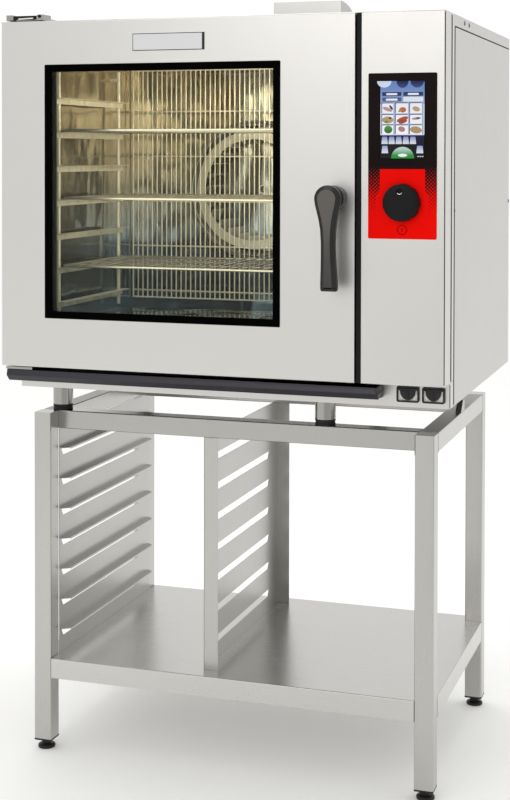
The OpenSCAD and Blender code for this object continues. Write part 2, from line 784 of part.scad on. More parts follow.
module column_cover() {
  color("silver") placed() difference() {
    block([column_x0, 0, door_z0], [oven_w, front_y - seam, door_z1]);
    block([column_x0 + casing_sheet, casing_sheet, door_z0 + casing_sheet],
          [oven_w - casing_sheet, front_y, door_z1 - casing_sheet]);
    block([screen_x - 0.3, -1, screen_z1 - screen_h - 0.3], [screen_x + screen_w + 0.3, 3, screen_z1 + 0.3]);
    bar_y(knob_x, knob_z, -1, 3, knob_shaft_r + 1);
  }
}

module fascia() {
  color("firebrick") placed() difference() {
    round_plate(fascia_x, fascia_x + fascia_w, fascia_z0, fascia_z1, -fascia_t, 0, 3);
    block([screen_x - 0.3, -5, screen_z1 - screen_h - 0.3], [screen_x + screen_w + 0.3, 1, screen_z1 + 0.3]);
    bar_y(knob_x, knob_z, -5, 1, knob_shaft_r + 1);
  }
}

module touch_screen() {
  color("midnightblue") placed() {
    block([screen_x, -fascia_t - 0.3, screen_z1 - screen_h], [screen_x + screen_w, 2, screen_z1]);
    block([screen_x - 6, casing_sheet, screen_z1 - screen_h - 6], [screen_x + screen_w + 6, 10, screen_z1 + 6]);
  }
}

module encoder_body() {
  half = rotor_r + 7;
  color("dimgray") placed() difference() {
    block([knob_x - half, casing_sheet, knob_z - half], [knob_x + half, casing_sheet + encoder_d, knob_z + half]);
    bar_y(knob_x, knob_z, casing_sheet + 6, casing_sheet + encoder_d - 4, rotor_r + run_clearance);
    bar_y(knob_x, knob_z, 0, casing_sheet + encoder_d + 1, knob_shaft_r + 0.5);
  }
}

module encoder_rotor() {
  color("gainsboro") placed() difference() {
    bar_y(knob_x, knob_z, casing_sheet + 6 + body_gap, casing_sheet + encoder_d - 4 - body_gap, rotor_r);
    bar_y(knob_x, knob_z, casing_sheet, casing_sheet + encoder_d, knob_shaft_r + run_clearance);
  }
}

module selector_knob() {
  scallops = 16;
  front = knob_back - knob_depth;
  color("black") placed() {
    difference() {
      bar_y(knob_x, knob_z, front, knob_back, knob_r);
      for (i = [0 : scallops - 1]) {
        a = i * 360 / scallops;
        bar_y(knob_x + (knob_r + 1.4) * cos(a), knob_z + (knob_r + 1.4) * sin(a), knob_back - 6, knob_back + 1, 3);
      }
    }
    bar_y(knob_x, knob_z, front + 2, casing_sheet + encoder_d - 1, knob_shaft_r);
  }
}

module electronics_box() {
  x0 = column_x0 - 40;
  x1 = oven_w - 30;
  y0 = casing_y0 + 30;
  y1 = oven_d - 70;
  z0 = oven_z0 + 120;
  z1 = oven_z1 - 90;
  color("lightslategray") placed() difference() {
    block([x0, y0, z0], [x1, y1, z1]);
    block([x0 + 1.5, y0 + 1.5, z0 + 1.5], [x1 - 1.5, y1 - 1.5, z1 - 1.5]);
    for (i = [0 : 7]) block([x0 + 20, y1 - 5, z0 + 60 + i * 20], [x1 - 20, y1 + 1, z0 + 68 + i * 20]);
  }
}

module port_frames() {
  color("black") placed() for (x = port_x) {
    mid = x + port_w / 2;
    difference() {
      union() {
        round_plate(x, x + port_w, port_z0, port_z0 + port_h, front_y - bezel_t, front_y, 4);
        block([x + 3.3, front_y - eps, port_z0 + 3.3], [x + port_w - 3.3, front_y + 22, port_z0 + port_h - 3.3]);
      }
      block([x + 3.2, front_y - bezel_t - 1, port_z0 + 3.2],
            [x + port_w - 3.2, front_y - 0.8, port_z0 + port_h - 3.2]);
      bar_y(mid, port_z0 + port_h / 2 - 1, front_y - 3, front_y + 16, 9);
      bar_x(flap_pivot_y, flap_pivot_z, x + 1, x + port_w - 1, pivot_pin_r + run_clearance);
    }
  }
}

// A cover that hangs on its pivot, narrows to a round foot and has a grip rib
module port_flap(x) {
  mid = x + port_w / 2;
  top_half = port_w / 2 - 3.2 - 1.2;
  foot_z = port_z0 + 3.2 + 7.5;
  y1 = flap_pivot_y + flap_t / 2;
  color("black") placed() {
    translate([0, y1, 0]) rotate([90, 0, 0]) linear_extrude(flap_t) hull() {
      translate([mid - top_half, flap_pivot_z - 1]) square([2 * top_half, 1]);
      translate([mid, foot_z]) circle(r = 6.5, $fn = 32);
    }
    block([mid - 1.1, y1 - flap_t - 2, foot_z - 3], [mid + 1.1, y1 - flap_t + 0.2, flap_pivot_z - 4]);
    bar_x(flap_pivot_y, flap_pivot_z, mid - top_half, mid + top_half, barrel_r);
    bar_x(flap_pivot_y, flap_pivot_z, x + 1.6, x + port_w - 1.6, pivot_pin_r);
  }
}

module port_flap_left() { port_flap(port_x[0]); }
module port_flap_right() { port_flap(port_x[1]); }

// ---- Door ----

module door_shell() {
  cut = trim_lap;
  color("silver") placed() difference() {
    union() {
      difference() {
        block([0, 0, door_z0], [door_w, door_body_y, door_z1]);
        block([door_sheet, door_sheet, door_z0 + door_sheet], [door_w - door_sheet, door_t, door_z1 - door_sheet]);
      }
      for (z = [door_z0, door_z1 - 26]) bar_z(hinge_in, hinge_back, z, z + 26, hinge_pin_r + 4);
    }
    block([window_x0 + cut, -1, window_z0 + cut], [window_x1 - cut, door_sheet + 1, window_z1 - cut]);
    for (z = [door_z0 - 1, door_z1 - 27]) bar_z(hinge_in, hinge_back, z, z + 28, hinge_pin_r + run_clearance);
    bar_y(handle_x, handle_z, -1, door_sheet + 1, latch_r + run_clearance);
  }
}

module door_inner_frame() {
  color("gainsboro") placed() difference() {
    union() {
      block([0, door_body_y, door_z0], [door_w, door_t, door_z1]);
      bar_y(handle_x, handle_z, door_body_y - 12, door_t, latch_r + 5);
    }
    block([window_x0, door_body_y - 1, window_z0], [window_x1, door_t + 1, window_z1]);
    bar_y(handle_x, handle_z, door_body_y - 13, door_t + 1, latch_r + run_clearance);
  }
}

module window_trim() {
  color("black") placed() difference() {
    union() {
      round_plate(window_x0, window_x1, window_z0, window_z1, -trim_out, 0, 2);
      block([window_x0 + trim_lap + 0.2, -eps, window_z0 + trim_lap + 0.2],
            [window_x1 - trim_lap - 0.2, 6, window_z1 - trim_lap - 0.2]);
    }
    block([window_x0 + trim_w, -5, window_z0 + trim_w], [window_x1 - trim_w, 10, window_z1 - trim_w]);
  }
}

module outer_glass() {
  edge = 6;
  color("lightcyan", 0.4) placed()
    block([window_x0 + edge, 6, window_z0 + edge], [window_x1 - edge, 6 + glass_t, window_z1 - edge]);
}

module inner_glass() {
  lap = 10;
  color("lightcyan", 0.4) placed()
    block([window_x0 - lap, door_body_y - glass_t, window_z0 - lap],
          [window_x1 + lap, door_body_y, window_z1 + lap]);
}

module nameplate() {
  plate_w = 154;
  plate_h = 34.5;
  x0 = (window_x0 + window_x1) / 2 - plate_w / 2 + 19;
  z1 = door_z1 - 31;
  color("white") placed() {
    block([x0, -1, z1 - plate_h], [x0 + plate_w, 0, z1]);
    block([x0 + plate_w - 3, -1.6, z1 - plate_h], [x0 + plate_w, -1 + eps, z1]);
  }
}

module handle_lever() {
  y0 = -handle_out;
  y1 = y0 + lever_t;
  neck_z = handle_z - handle_len * 0.53;
  end_z = handle_z - handle_len;
  color("dimgray") placed() {
    difference() {
      bar_y(handle_x, handle_z, y1 - 1, -body_gap, handle_hub_r - 1);
      bar_y(handle_x, handle_z, -body_gap - latch_grip, 0, latch_r + run_clearance);
    }
    hull() {
      bar_y(handle_x, handle_z, y0 + 4, y1, handle_hub_r, $fn = 32);
      bar_y(handle_x, handle_z, y0, y1, handle_hub_r - 5, $fn = 32);
      bar_y(handle_x + 1, neck_z, y0 + 3, y1, 13.8, $fn = 32);
      bar_y(handle_x + 1, neck_z, y0, y1, 9, $fn = 32);
    }
    hull() {
      bar_y(handle_x + 1, neck_z, y0 + 3, y1, 13.8, $fn = 32);
      bar_y(handle_x + 1, neck_z, y0, y1, 9, $fn = 32);
      bar_y(handle_x + 2.5, end_z, y0 + 4, y1, 16.3, $fn = 32);
      bar_y(handle_x + 2.5, end_z, y0, y1, 11, $fn = 32);
    }
  }
}

module latch_cam() {
  y0 = front_y + casing_sheet + 6;
  color("silver") placed() {
    bar_y(handle_x, handle_z, -body_gap - latch_grip, y0 + 8, latch_r);
    bar_y(handle_x, handle_z, y0, y0 + 8, latch_r + 4);
    block([handle_x, y0, handle_z - 5], [handle_x + 24, y0 + 8, handle_z + 5]);
    bar_y(handle_x + 24, handle_z, y0, y0 + 8, 5);
  }
}

// ---- Inside the cavity ----

// One side rack; side is 1 on the left wall and -1 on the right wall
module rack(x, side) {
  wall = side > 0 ? cavity_x0 : cavity_x1;
  z0 = cavity_z0 + 12;
  z1 = cavity_z1 - 14;
  ys = [rack_y0 + 6, rack_y1 - 6];
  for (y = ys) {
    bar_z(x, y, z0, z1, post_r);
    for (z = [z0 + 20, z1 - 20]) bar_x(y, z, min(x, wall), max(x, wall), post_r - 0.5);
  }
  for (z = level_z) {
    near = side > 0 ? x + post_r - 1 : x - post_r + 1 - ledge_w;
    block([near, rack_y0 - 12, z - ledge_t], [near + ledge_w, rack_y1 + 8, z]);
  }
}

module tray_racks() {
  color("silver") placed() {
    rack(rack_x[0], 1);
    rack(rack_x[1], -1);
  }
}

// A flat grid with a heavier edge
module wire_grid(w, h, edge, wire, pitch, bars) {
  difference() {
    square([w, h]);
    n = floor((w - 2 * edge) / pitch);
    cell = (w - 2 * edge) / n;
    row = (h - 2 * edge - bars * wire) / (bars + 1);
    for (i = [0 : n - 1], j = [0 : bars])
      translate([edge + i * cell + (i == 0 ? 0 : wire / 2), edge + j * (row + wire)])
        square([cell - (i == 0 ? wire / 2 : (i == n - 1 ? wire / 2 : wire)), row]);
  }
}

module wire_shelf(level) {
  x0 = rack_x[0] + post_r + 5;
  x1 = rack_x[1] - post_r - 5;
  color("silver") placed() translate([x0, rack_y0, level_z[level] + body_gap]) linear_extrude(shelf_t)
    wire_grid(x1 - x0, wire_shelf_d, 6, wire_w, shelf_wire_pitch, 2);
}

module shelf_top() { wire_shelf(min(5, rack_levels - 1)); }
module shelf_middle() { wire_shelf(min(3, rack_levels - 2)); }
module shelf_bottom() { wire_shelf(min(1, rack_levels - 3)); }

module fan_guard() {
  color("silver") placed() {
    translate([cavity_x0 + 1, guard_y + wire_w, cavity_z0 + 14]) rotate([90, 0, 0]) linear_extrude(wire_w)
      wire_grid(cavity_x1 - cavity_x0 - 2, cavity_z1 - cavity_z0 - 16, 5, wire_w, guard_wire_pitch, 4);
    for (x = [cavity_x0 + 30, cavity_x1 - 34], z = [cavity_z0 + 60, cavity_z1 - 60])
      block([x, guard_y + wire_w - eps, z], [x + 4, cavity_y1, z + 10]);
  }
}

module fan_wheel() {
  hub_r = fan_shaft_r + 14;
  color("gainsboro") placed() {
    difference() {
      bar_y(fan_x, fan_z, fan_y1 - 2, fan_y1, fan_r);
      bar_y(fan_x, fan_z, fan_y1 - 3, fan_y1 + 1, fan_shaft_r - 1);
    }
    difference() {
      bar_y(fan_x, fan_z, fan_y0, fan_y0 + 2, fan_r);
      bar_y(fan_x, fan_z, fan_y0 - 1, fan_y0 + 3, fan_r - 34);
    }
    for (i = [0 : fan_blades - 1]) translate([fan_x, 0, fan_z]) rotate([0, i * 360 / fan_blades, 0])
      block([fan_r - 32, fan_y0 + 1, -1], [fan_r - 2, fan_y1 - 1, 1]);
    bar_y(fan_x, fan_z, fan_y1 - 22, fan_y1, hub_r);
    bar_y(fan_x, fan_z, fan_y1 - 26, cavity_y1 + 60, fan_shaft_r);
  }
}

module fan_motor() {
  y0 = cavity_y1 + cavity_wall;
  color("slategray") placed() difference() {
    union() {
      bar_y(fan_x, fan_z, y0, y0 + 4, motor_r);
      bar_y(fan_x, fan_z, y0 + 3, y0 + 30, 34);
      bar_y(fan_x, fan_z, y0 + 28, y0 + 105, motor_r);
      for (i = [0 : 11]) translate([fan_x, 0, fan_z]) rotate([0, i * 30, 0])
        block([motor_r - 2, y0 + 34, -1.5], [motor_r + 4, y0 + 92, 1.5]);
    }
    bar_y(fan_x, fan_z, y0 - 1, y0 + 70, fan_shaft_r + run_clearance);
  }
}

module heating_element() {
  ys = [for (i = [0 : 2]) fan_y0 + 2 + i * 22];
  color("dimgray") placed() {
    for (y = ys) translate([fan_x, y, fan_z]) rotate([90, 0, 0]) rotate_extrude() translate([element_ring, 0])
      circle(r = element_r, $fn = 24);
    for (s = [-1, 1]) {
      x = fan_x + s * 20;
      drop = element_ring;
      bar_y(x, fan_z - drop, ys[0], cavity_y1 + 22, element_r);
      bar_y(x, fan_z - drop, cavity_y1 + cavity_wall, cavity_y1 + cavity_wall + 4, element_r + 4);
    }
  }
}

module oven_lamp() {
  x = cavity_x1 + cavity_wall;
  color("ivory") placed() {
    bar_x(lamp_y, lamp_z, x, x + 4, 34);
    bar_x(lamp_y, lamp_z, x + 3, x + 30, 24);
    bar_x(lamp_y, lamp_z, x - 9, x + 1, lamp_lens_r);
  }
}

stand_legs();
cross_rails();
side_rails();
lower_shelf();
slide_panel_left();
slide_panel_middle();
foot_caps();
level_foot_fl();
level_foot_fr();
level_foot_bl();
level_foot_br();
oven_feet();
oven_foot_pads();
base_pan();
side_panel_left();
side_panel_right();
top_cover();
back_panel();
front_frame();
side_screws();
cavity();
insulation();
door_gasket();
vent_pipe();
vent_damper();
vent_cowl();
drain_pipe();
drain_strainer();
water_inlet();
cable_gland();
drip_tray();
hinge_brackets();
latch_striker();
column_cover();
fascia();
touch_screen();
encoder_body();
encoder_rotor();
selector_knob();
electronics_box();
port_frames();
port_flap_left();
port_flap_right();
door_shell();
door_inner_frame();
window_trim();
outer_glass();
inner_glass();
nameplate();
handle_lever();
latch_cam();
tray_racks();
shelf_top();
shelf_middle();
shelf_bottom();
fan_guard();
fan_wheel();
fan_motor();
heating_element();
oven_lamp();
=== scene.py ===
import math
import bpy
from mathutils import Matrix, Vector


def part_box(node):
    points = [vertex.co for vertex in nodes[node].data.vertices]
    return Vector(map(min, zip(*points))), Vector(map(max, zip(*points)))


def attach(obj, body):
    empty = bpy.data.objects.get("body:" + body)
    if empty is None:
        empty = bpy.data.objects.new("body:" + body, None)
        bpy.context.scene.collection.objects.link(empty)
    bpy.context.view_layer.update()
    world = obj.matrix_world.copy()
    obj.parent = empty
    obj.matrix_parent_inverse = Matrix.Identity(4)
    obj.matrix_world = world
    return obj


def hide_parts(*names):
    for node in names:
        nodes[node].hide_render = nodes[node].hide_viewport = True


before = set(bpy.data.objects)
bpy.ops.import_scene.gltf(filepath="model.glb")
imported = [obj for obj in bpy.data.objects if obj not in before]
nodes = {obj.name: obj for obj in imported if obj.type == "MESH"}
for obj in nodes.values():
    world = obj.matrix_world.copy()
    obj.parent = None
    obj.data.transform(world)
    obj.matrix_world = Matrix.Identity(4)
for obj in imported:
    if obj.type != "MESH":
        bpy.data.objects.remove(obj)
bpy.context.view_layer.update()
mm = 0.001
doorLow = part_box("door_shell")[0]
corner = Vector((doorLow.x, doorLow.y, 0))  # the door's lower left corner, dropped to the floor


def at(x, y, z):  # millimetres from that corner, as a place in the frame
    return corner + Vector((x, y, z)) * mm


def away(point):  # and back again
    return (Vector(point) - corner) / mm


def span(node):  # a node's two corners in millimetres from that corner
    low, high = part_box(node)
    return away(low), away(high)


camera = {"place": (1490.2, -2771.7, 1305.5), "turn": 18.133, "tip": -1.036, "roll": -0.098,
          "lens": 67.28, "shift": (-0.0169, -0.2734)}
freshCamera = bpy.data.cameras.new("viewCamera")
cameraObject = bpy.data.objects.new("viewCamera", freshCamera)
bpy.context.scene.collection.objects.link(cameraObject)
cameraObject.location = at(*camera["place"])
cameraObject.rotation_euler = (math.radians(90 + camera["tip"]), math.radians(camera["roll"]),
                               math.radians(camera["turn"]))
freshCamera.lens = camera["lens"]
freshCamera.sensor_width = 36
freshCamera.shift_x, freshCamera.shift_y = camera["shift"]
freshCamera.clip_end = 200
bpy.context.scene.camera = cameraObject
bpy.context.scene.view_settings.view_transform = "Standard"

softboxes = {  # place and target in millimetres, size in metres, watts, colour
    "keyLight": ((330, -3000, 2500), (760, 0, 1500), 1.9, 15, (1.0, 0.985, 0.96)),
    "topLight": ((400, 600, 4200), (400, 300, 1000), 2.6, 30, (1.0, 1.0, 1.0)),
}
cavityLamps = {
    "cavityLampGlow": ((600, 430, 1440), (200, 200, 1200), 0.06, 1.2, (1.0, 0.88, 0.70)),
    "cavityFrontGlow": ((380, 80, 1260), (360, 520, 1230), 0.40, 1.3, (1.0, 0.92, 0.80)),
}


def softLight(name, place, target, size, watts, colour):
    data = bpy.data.lights.new(name, "AREA")
    data.size, data.energy, data.color = size, watts, colour
    lamp = bpy.data.objects.new(name, data)
    bpy.context.scene.collection.objects.link(lamp)
    lamp.location = at(*place)
    lamp.rotation_euler = (at(*target) - at(*place)).to_track_quat("-Z", "Y").to_euler()


for name, values in {**softboxes, **cavityLamps}.items():
    softLight(name, *values)


class Wire:  # one output of a node; sums on it add Math nodes
    def __init__(self, recipe, socket):
        self.recipe, self.socket = recipe, socket

    def sum(self, operation, *values):
        return self.recipe.add("ShaderNodeMath", {"operation": operation}, values)

    def __add__(self, other): return self.sum("ADD", self, other)
    def __sub__(self, other): return self.sum("SUBTRACT", self, other)
    def __mul__(self, other): return self.sum("MULTIPLY", self, other)
    def __truediv__(self, other): return self.sum("DIVIDE", self, other)
    def __rsub__(self, other): return self.sum("SUBTRACT", other, self)
    def __gt__(self, other): return self.sum("GREATER_THAN", self, other)
    def __lt__(self, other): return self.sum("LESS_THAN", self, other)
    __radd__ = __add__
    __rmul__ = __mul__

    def ramp(self, low, high, first=0.0, last=1.0):  # eased from one value to another
        return self.recipe.add("ShaderNodeMapRange", {"interpolation_type": "SMOOTHSTEP"},
                               {"Value": self, "From Min": low, "From Max": high,
                                "To Min": first, "To Max": last})


class Recipe:  # one material
    def __init__(self, name, room=None):
        self.material = room or bpy.data.materials.new(name)
        self.material.use_nodes = True
        self.tree = self.material.node_tree
        self.tree.nodes.clear()
        self.where = self.add("ShaderNodeTexCoord", output="Generated" if room else "Object")

    def add(self, kind, settings=None, inputs=(), output=0):
        node = self.tree.nodes.new(kind)
        for key, value in (settings or {}).items():
            setattr(node, key, value)
        for key, value in inputs.items() if isinstance(inputs, dict) else enumerate(inputs):
            if isinstance(value, Wire):
                self.tree.links.new(value.socket, node.inputs[key])
            else:
                node.inputs[key].default_value = value
        return Wire(self, node.outputs[output])

    def parts(self, vector):
        first = self.add("ShaderNodeSeparateXYZ", inputs=[vector])
        return [Wire(self, output) for output in first.socket.node.outputs]

    def noise(self, scale, detail=2.0, stretch=(1, 1, 1), rough=0.5, output=0):
        vector = self.add("ShaderNodeMapping", inputs={"Vector": self.where, "Scale": stretch})
        return self.add("ShaderNodeTexNoise", inputs={"Vector": vector, "Scale": scale, "Detail": detail,
                                                      "Roughness": rough}, output=output)

    def blend(self, share, first, second):  # two colours
        fixed = [c if isinstance(c, Wire) else (*c, 1) for c in (first, second)]
        sockets = {0: share, 6: fixed[0], 7: fixed[1]}
        return self.add("ShaderNodeMix", {"data_type": "RGBA"}, sockets, output=2)

    def bump(self, height, strength, distance=0.0005):
        sockets = {"Strength": strength, "Distance": distance, "Height": height}
        return self.add("ShaderNodeBump", inputs=sockets)

    def glossy(self, **sockets):  # the Principled shader, its sockets named with spaces left out
        node = self.tree.nodes.new("ShaderNodeBsdfPrincipled")
        names = {socket.name.replace(" ", ""): socket for socket in node.inputs}
        for key, value in sockets.items():
            if isinstance(value, Wire):
                self.tree.links.new(value.socket, names[key])
            else:
                colour = isinstance(value, tuple) and len(value) == 3
                names[key].default_value = (*value, 1) if colour else value
        return Wire(self, node.outputs[0])

    def finish(self, shader, kind="ShaderNodeOutputMaterial"):
        out = self.tree.nodes.new(kind)
        self.tree.links.new(shader.socket, out.inputs["Surface"])
        return self.material


room = {"pale": 0.96, "darkCorner": 0.34, "lowBand": 0.16, "backdrop": 1.04}  # the far front right is dimmer
bpy.context.scene.world = bpy.data.worlds.new("paleRoom")
roomMix = Recipe("paleRoom", bpy.context.scene.world)
east, north, upward = roomMix.parts(roomMix.where)
before = 1 - north.ramp(-0.6, 0.1)
dim = east.ramp(-0.5, 0.3) * before
low = (1 - upward.ramp(-0.05, 0.25)) * before
level = room["pale"] - dim * room["darkCorner"] - low * room["lowBand"]
seen = roomMix.add("ShaderNodeLightPath", output="Is Camera Ray")
level = level + seen * (room["backdrop"] - level)
backdrop = roomMix.add("ShaderNodeBackground", inputs={"Color": (1.0, 0.995, 0.985, 1), "Strength": level})
roomMix.finish(backdrop, "ShaderNodeOutputWorld")


def brushedSteel(name, tone, roughness, grain="X", mottle=0.03, metal=1.0):
    stretch = {"X": (5, 700, 700), "Y": (700, 5, 700), "Z": (700, 700, 5)}[grain]
    mix = Recipe(name)
    hair = mix.noise(1.0, 3.0, stretch, 0.6)
    cloud = mix.noise(2.6, 3.0)
    smear = mix.noise(17.0, 4.0, rough=0.62)
    dark = tuple(c * (1 - mottle) for c in tone)
    light = tuple(min(1, c * (1 + mottle)) for c in tone)
    colour = mix.blend(cloud * 0.7 + hair * 0.3, dark, light)
    rough = roughness - 0.07 + hair * 0.08 + smear * 0.06
    return mix.finish(mix.glossy(BaseColor=colour, Metallic=metal, Roughness=rough,
                                 Normal=mix.bump(hair, 0.05, 0.0002)))


def mouldedPlastic(name, tone, roughness, grain=900.0, depth=0.08, specular=0.25, sheenTone=None):
    mix = Recipe(name)
    pits = mix.noise(grain, 2.0)
    cloud = mix.noise(22.0, 3.0)
    colour = mix.blend(cloud, tuple(c * 0.85 for c in tone), tuple(min(1, c * 1.18 + 0.0005) for c in tone))
    if sheenTone:  # painted sheen: the forward-facing flat front is blended towards a lighter tone, more strongly near its top
        turn = mix.parts(mix.add("ShaderNodeTexCoord", output="Normal"))[1]
        low = mix.parts(mix.where)[2].ramp(at(0, 0, 1040).z, at(0, 0, 1230).z, 0.3, 1.0)
        front = mix.parts(mix.where)[1] < at(0, -50, 0).y
        paintedSheen = (turn * -1).ramp(0.86, 0.995) * (0.6 + cloud * 0.4) * low * front
        colour = mix.blend(paintedSheen, colour, sheenTone)
    return mix.finish(mix.glossy(BaseColor=colour, Roughness=roughness - 0.05 + cloud * 0.1,
                                 SpecularIORLevel=specular, Normal=mix.bump(pits, depth, 0.0002)))


def clearPane(name, tint, gloss):
    mix = Recipe(name)
    film = mix.noise(3.5, 2.0)
    facing = mix.add("ShaderNodeLayerWeight", inputs={"Blend": 0.35}, output="Fresnel")
    through = mix.add("ShaderNodeBsdfTransparent", inputs={"Color": (*tint, 1)})
    mirror = mix.add("ShaderNodeBsdfGlossy", inputs={"Color": (0.95, 0.98, 1.0, 1), "Roughness": 0.04})
    share = facing * (gloss + film * 0.02)
    return mix.finish(mix.add("ShaderNodeMixShader", inputs=[share, through, mirror]))


def bakedSteel(name, tone, paintedShadeLowTone, roughness):  # cavity sheet, gold above and darker blue-grey below; the darker blue-grey lower part is painted shade and painted reflection
    mix = Recipe(name)
    stain = mix.noise(5.0, 4.0, rough=0.65)
    wave = mix.noise(11.0, 2.0, (1, 1, 0.5))
    spots = mix.noise(90.0, 3.0)
    # painted shade: the colour darkens and turns blue-grey towards the bottom of the cavity
    tint = mix.parts(mix.where)[2].ramp(at(0, 0, 1000).z, at(0, 0, 1400).z)
    tone = mix.blend(tint, paintedShadeLowTone, tone)
    colour = mix.blend(stain.ramp(0.35, 0.7) * 0.5, tone, (0.22, 0.17, 0.10))
    rough = roughness + stain * 0.06 + spots * 0.03
    return mix.finish(mix.glossy(BaseColor=colour, Metallic=1.0, Roughness=rough,
                                 Normal=mix.bump(wave, 0.75, 0.008)))


def woolly(name, tone):
    mix = Recipe(name)
    fibre = mix.noise(260.0, 5.0, rough=0.8)
    colour = mix.blend(fibre, tuple(c * 0.6 for c in tone), tone)
    return mix.finish(mix.glossy(BaseColor=colour, Roughness=0.95, Normal=mix.bump(fibre, 0.9, 0.002)))


# painted shade: standSteel, railSteel and footSteel are darker copies of the one steel, their lower tones
# standing for shade and reflection
steels = {  # tone, roughness, grain, mottle, metal
    "doorSteel": ((0.66, 0.65, 0.63), 0.36, "Z"),
    "casingSteel": ((0.65, 0.64, 0.62), 0.34, "Z"),
    "standSteel": ((0.50, 0.494, 0.474), 0.26, "Z"),
    "railSteel": ((0.435, 0.430, 0.412), 0.24, "X"),
    "sideRailSteel": ((0.525, 0.518, 0.497), 0.24, "Y"),
    "sideSteel": ((0.495, 0.488, 0.47), 0.30, "Y"),
    "panelSteel": ((0.575, 0.568, 0.548), 0.34, "Y"),
    "shelfSteel": ((0.58, 0.573, 0.553), 0.26, "X"),
    "footSteel": ((0.38, 0.372, 0.356), 0.20, "Z"),
    "fanSteel": ((0.60, 0.55, 0.45), 0.30, "Z", 0.05, 0.25),
    "coilSteel": ((0.30, 0.28, 0.23), 0.35, "X"),
    "chrome": ((0.92, 0.92, 0.93), 0.08, "Z", 0.01),
    "plateSilver": ((0.66, 0.66, 0.68), 0.45, "X", 0.03, 0.5),
    "brightSteel": ((0.86, 0.85, 0.83), 0.22, "Z"),
    "undersideSteel": ((0.23, 0.225, 0.215), 0.45, "X"),
    "darkSteel": ((0.11, 0.115, 0.125), 0.42, "X"),
    "traySteel": ((0.056, 0.054, 0.062), 0.40, "X"),
    "wireSteel": ((0.95, 0.87, 0.70), 0.28, "Z", 0.05, 0.35),
    "shelfWire": ((0.46, 0.42, 0.345), 0.26, "Y", 0.05, 0.6),
    "railTopReflectionSteel": ((0.24, 0.235, 0.222), 0.32, "Y"),
    "brass": ((0.78, 0.57, 0.27), 0.3, "Z"),
    "zinc": ((0.62, 0.63, 0.64), 0.42, "Z"),
}
plastics = {  # tone, roughness, grain, depth, specular, painted sheen tone of the flat front
    "blackGloss": ((0.0008, 0.0007, 0.0007), 0.30, 500.0, 0.02, 0.01),
    "blackPlastic": ((0.018, 0.018, 0.019), 0.42),
    "handlePlastic": ((0.016, 0.0155, 0.0155), 0.34, 900.0, 0.08, 0.3, (0.135, 0.125, 0.115)),
    "knobPlastic": ((0.011, 0.0105, 0.011), 0.42, 900.0, 0.08, 0.10),
    "flapPlastic": ((0.022, 0.022, 0.023), 0.4),
    "markRed": ((0.06, 0.003, 0.002), 0.4, 900.0, 0.08, 0.05),
    "rubber": ((0.02, 0.02, 0.021), 0.7, 600.0, 0.15),
    "greyPlastic": ((0.28, 0.28, 0.29), 0.5),
    "creamPlastic": ((0.92, 0.90, 0.82), 0.45),
    "seamDark": ((0.016, 0.015, 0.014), 0.7, 900.0, 0.08, 0.1),
}
panes = {  # tint, gloss
    "lampGlass": ((1.0, 0.93, 0.80), 0.9),
    "innerPaneGlass": ((0.93, 0.95, 0.93), 0.06),
    "paneGlass": ((0.95, 0.97, 0.96), 0.17),
}
finishes = {name: brushedSteel(name, *values) for name, values in steels.items()}
finishes.update({name: mouldedPlastic(name, *values) for name, values in plastics.items()})
finishes.update({name: clearPane(name, *values) for name, values in panes.items()})
# the second colour is the painted shade and painted reflection low in the cavity
finishes["cavitySteel"] = bakedSteel("cavitySteel", (0.56, 0.49, 0.36), (0.28, 0.35, 0.42), 0.07)
finishes["wool"] = woolly("wool", (0.62, 0.52, 0.24))
print("materials made")


def freshStart():
    if bpy.context.mode != "OBJECT":
        bpy.ops.object.mode_set(mode="OBJECT")
    bpy.ops.object.select_all(action="DESELECT")


def pickOnly(*pieces):
    freshStart()
    for piece in pieces:
        piece.select_set(True)
    bpy.context.view_layer.objects.active = pieces[-1]


def named(name):
    piece = bpy.context.object
    piece.name = piece.data.name = name
    return piece


def settle(piece):  # its place, turn and size go into its mesh
    pickOnly(piece)
    bpy.ops.object.transform_apply(location=True, rotation=True, scale=True)
    return piece


def editing(piece, kind="EDGE"):
    pickOnly(piece)
    bpy.ops.object.mode_set(mode="EDIT")
    bpy.ops.mesh.select_mode(type=kind)
    bpy.ops.mesh.select_all(action="DESELECT")


def pickFaces(piece, test):  # leaves edit mode on, with the faces that pass picked
    editing(piece, "FACE")
    bpy.ops.object.mode_set(mode="OBJECT")
    for face in piece.data.polygons:
        face.select = bool(test(away(face.center), face.normal))
    bpy.ops.object.mode_set(mode="EDIT")


def pickEdges(piece, test):
    editing(piece, "EDGE")
    bpy.ops.object.mode_set(mode="OBJECT")
    places = [away(v.co) for v in piece.data.vertices]
    for edge in piece.data.edges:
        edge.select = bool(test(places[edge.vertices[0]], places[edge.vertices[1]]))
    bpy.ops.object.mode_set(mode="EDIT")


def roundEdges(piece, test, width, steps=3):
    pickEdges(piece, test)
    bpy.ops.mesh.bevel(offset=width * mm, segments=steps, affect="EDGES", clamp_overlap=True)
    bpy.ops.object.mode_set(mode="OBJECT")
    return piece


def modified(piece, kind, **settings):
    pickOnly(piece)
    change = piece.modifiers.new(kind.lower(), kind)
    for key, value in settings.items():
        setattr(change, key, value)
    bpy.ops.object.modifier_apply(modifier=change.name)
    return piece


def bevelled(piece, width, steps=2, angle=32):
    return modified(piece, "BEVEL", width=width * mm, segments=steps, limit_method="ANGLE",
                    angle_limit=math.radians(angle), use_clamp_overlap=True)


def slab(name, low, high, edge=0.6, steps=2):
    freshStart()
    middle = [(a + b) / 2 for a, b in zip(low, high)]
    size = [(b - a) * mm for a, b in zip(low, high)]
    bpy.ops.mesh.primitive_cube_add(size=1, location=at(*middle), scale=size)
    piece = settle(named(name))
    return bevelled(piece, edge, steps) if edge else piece


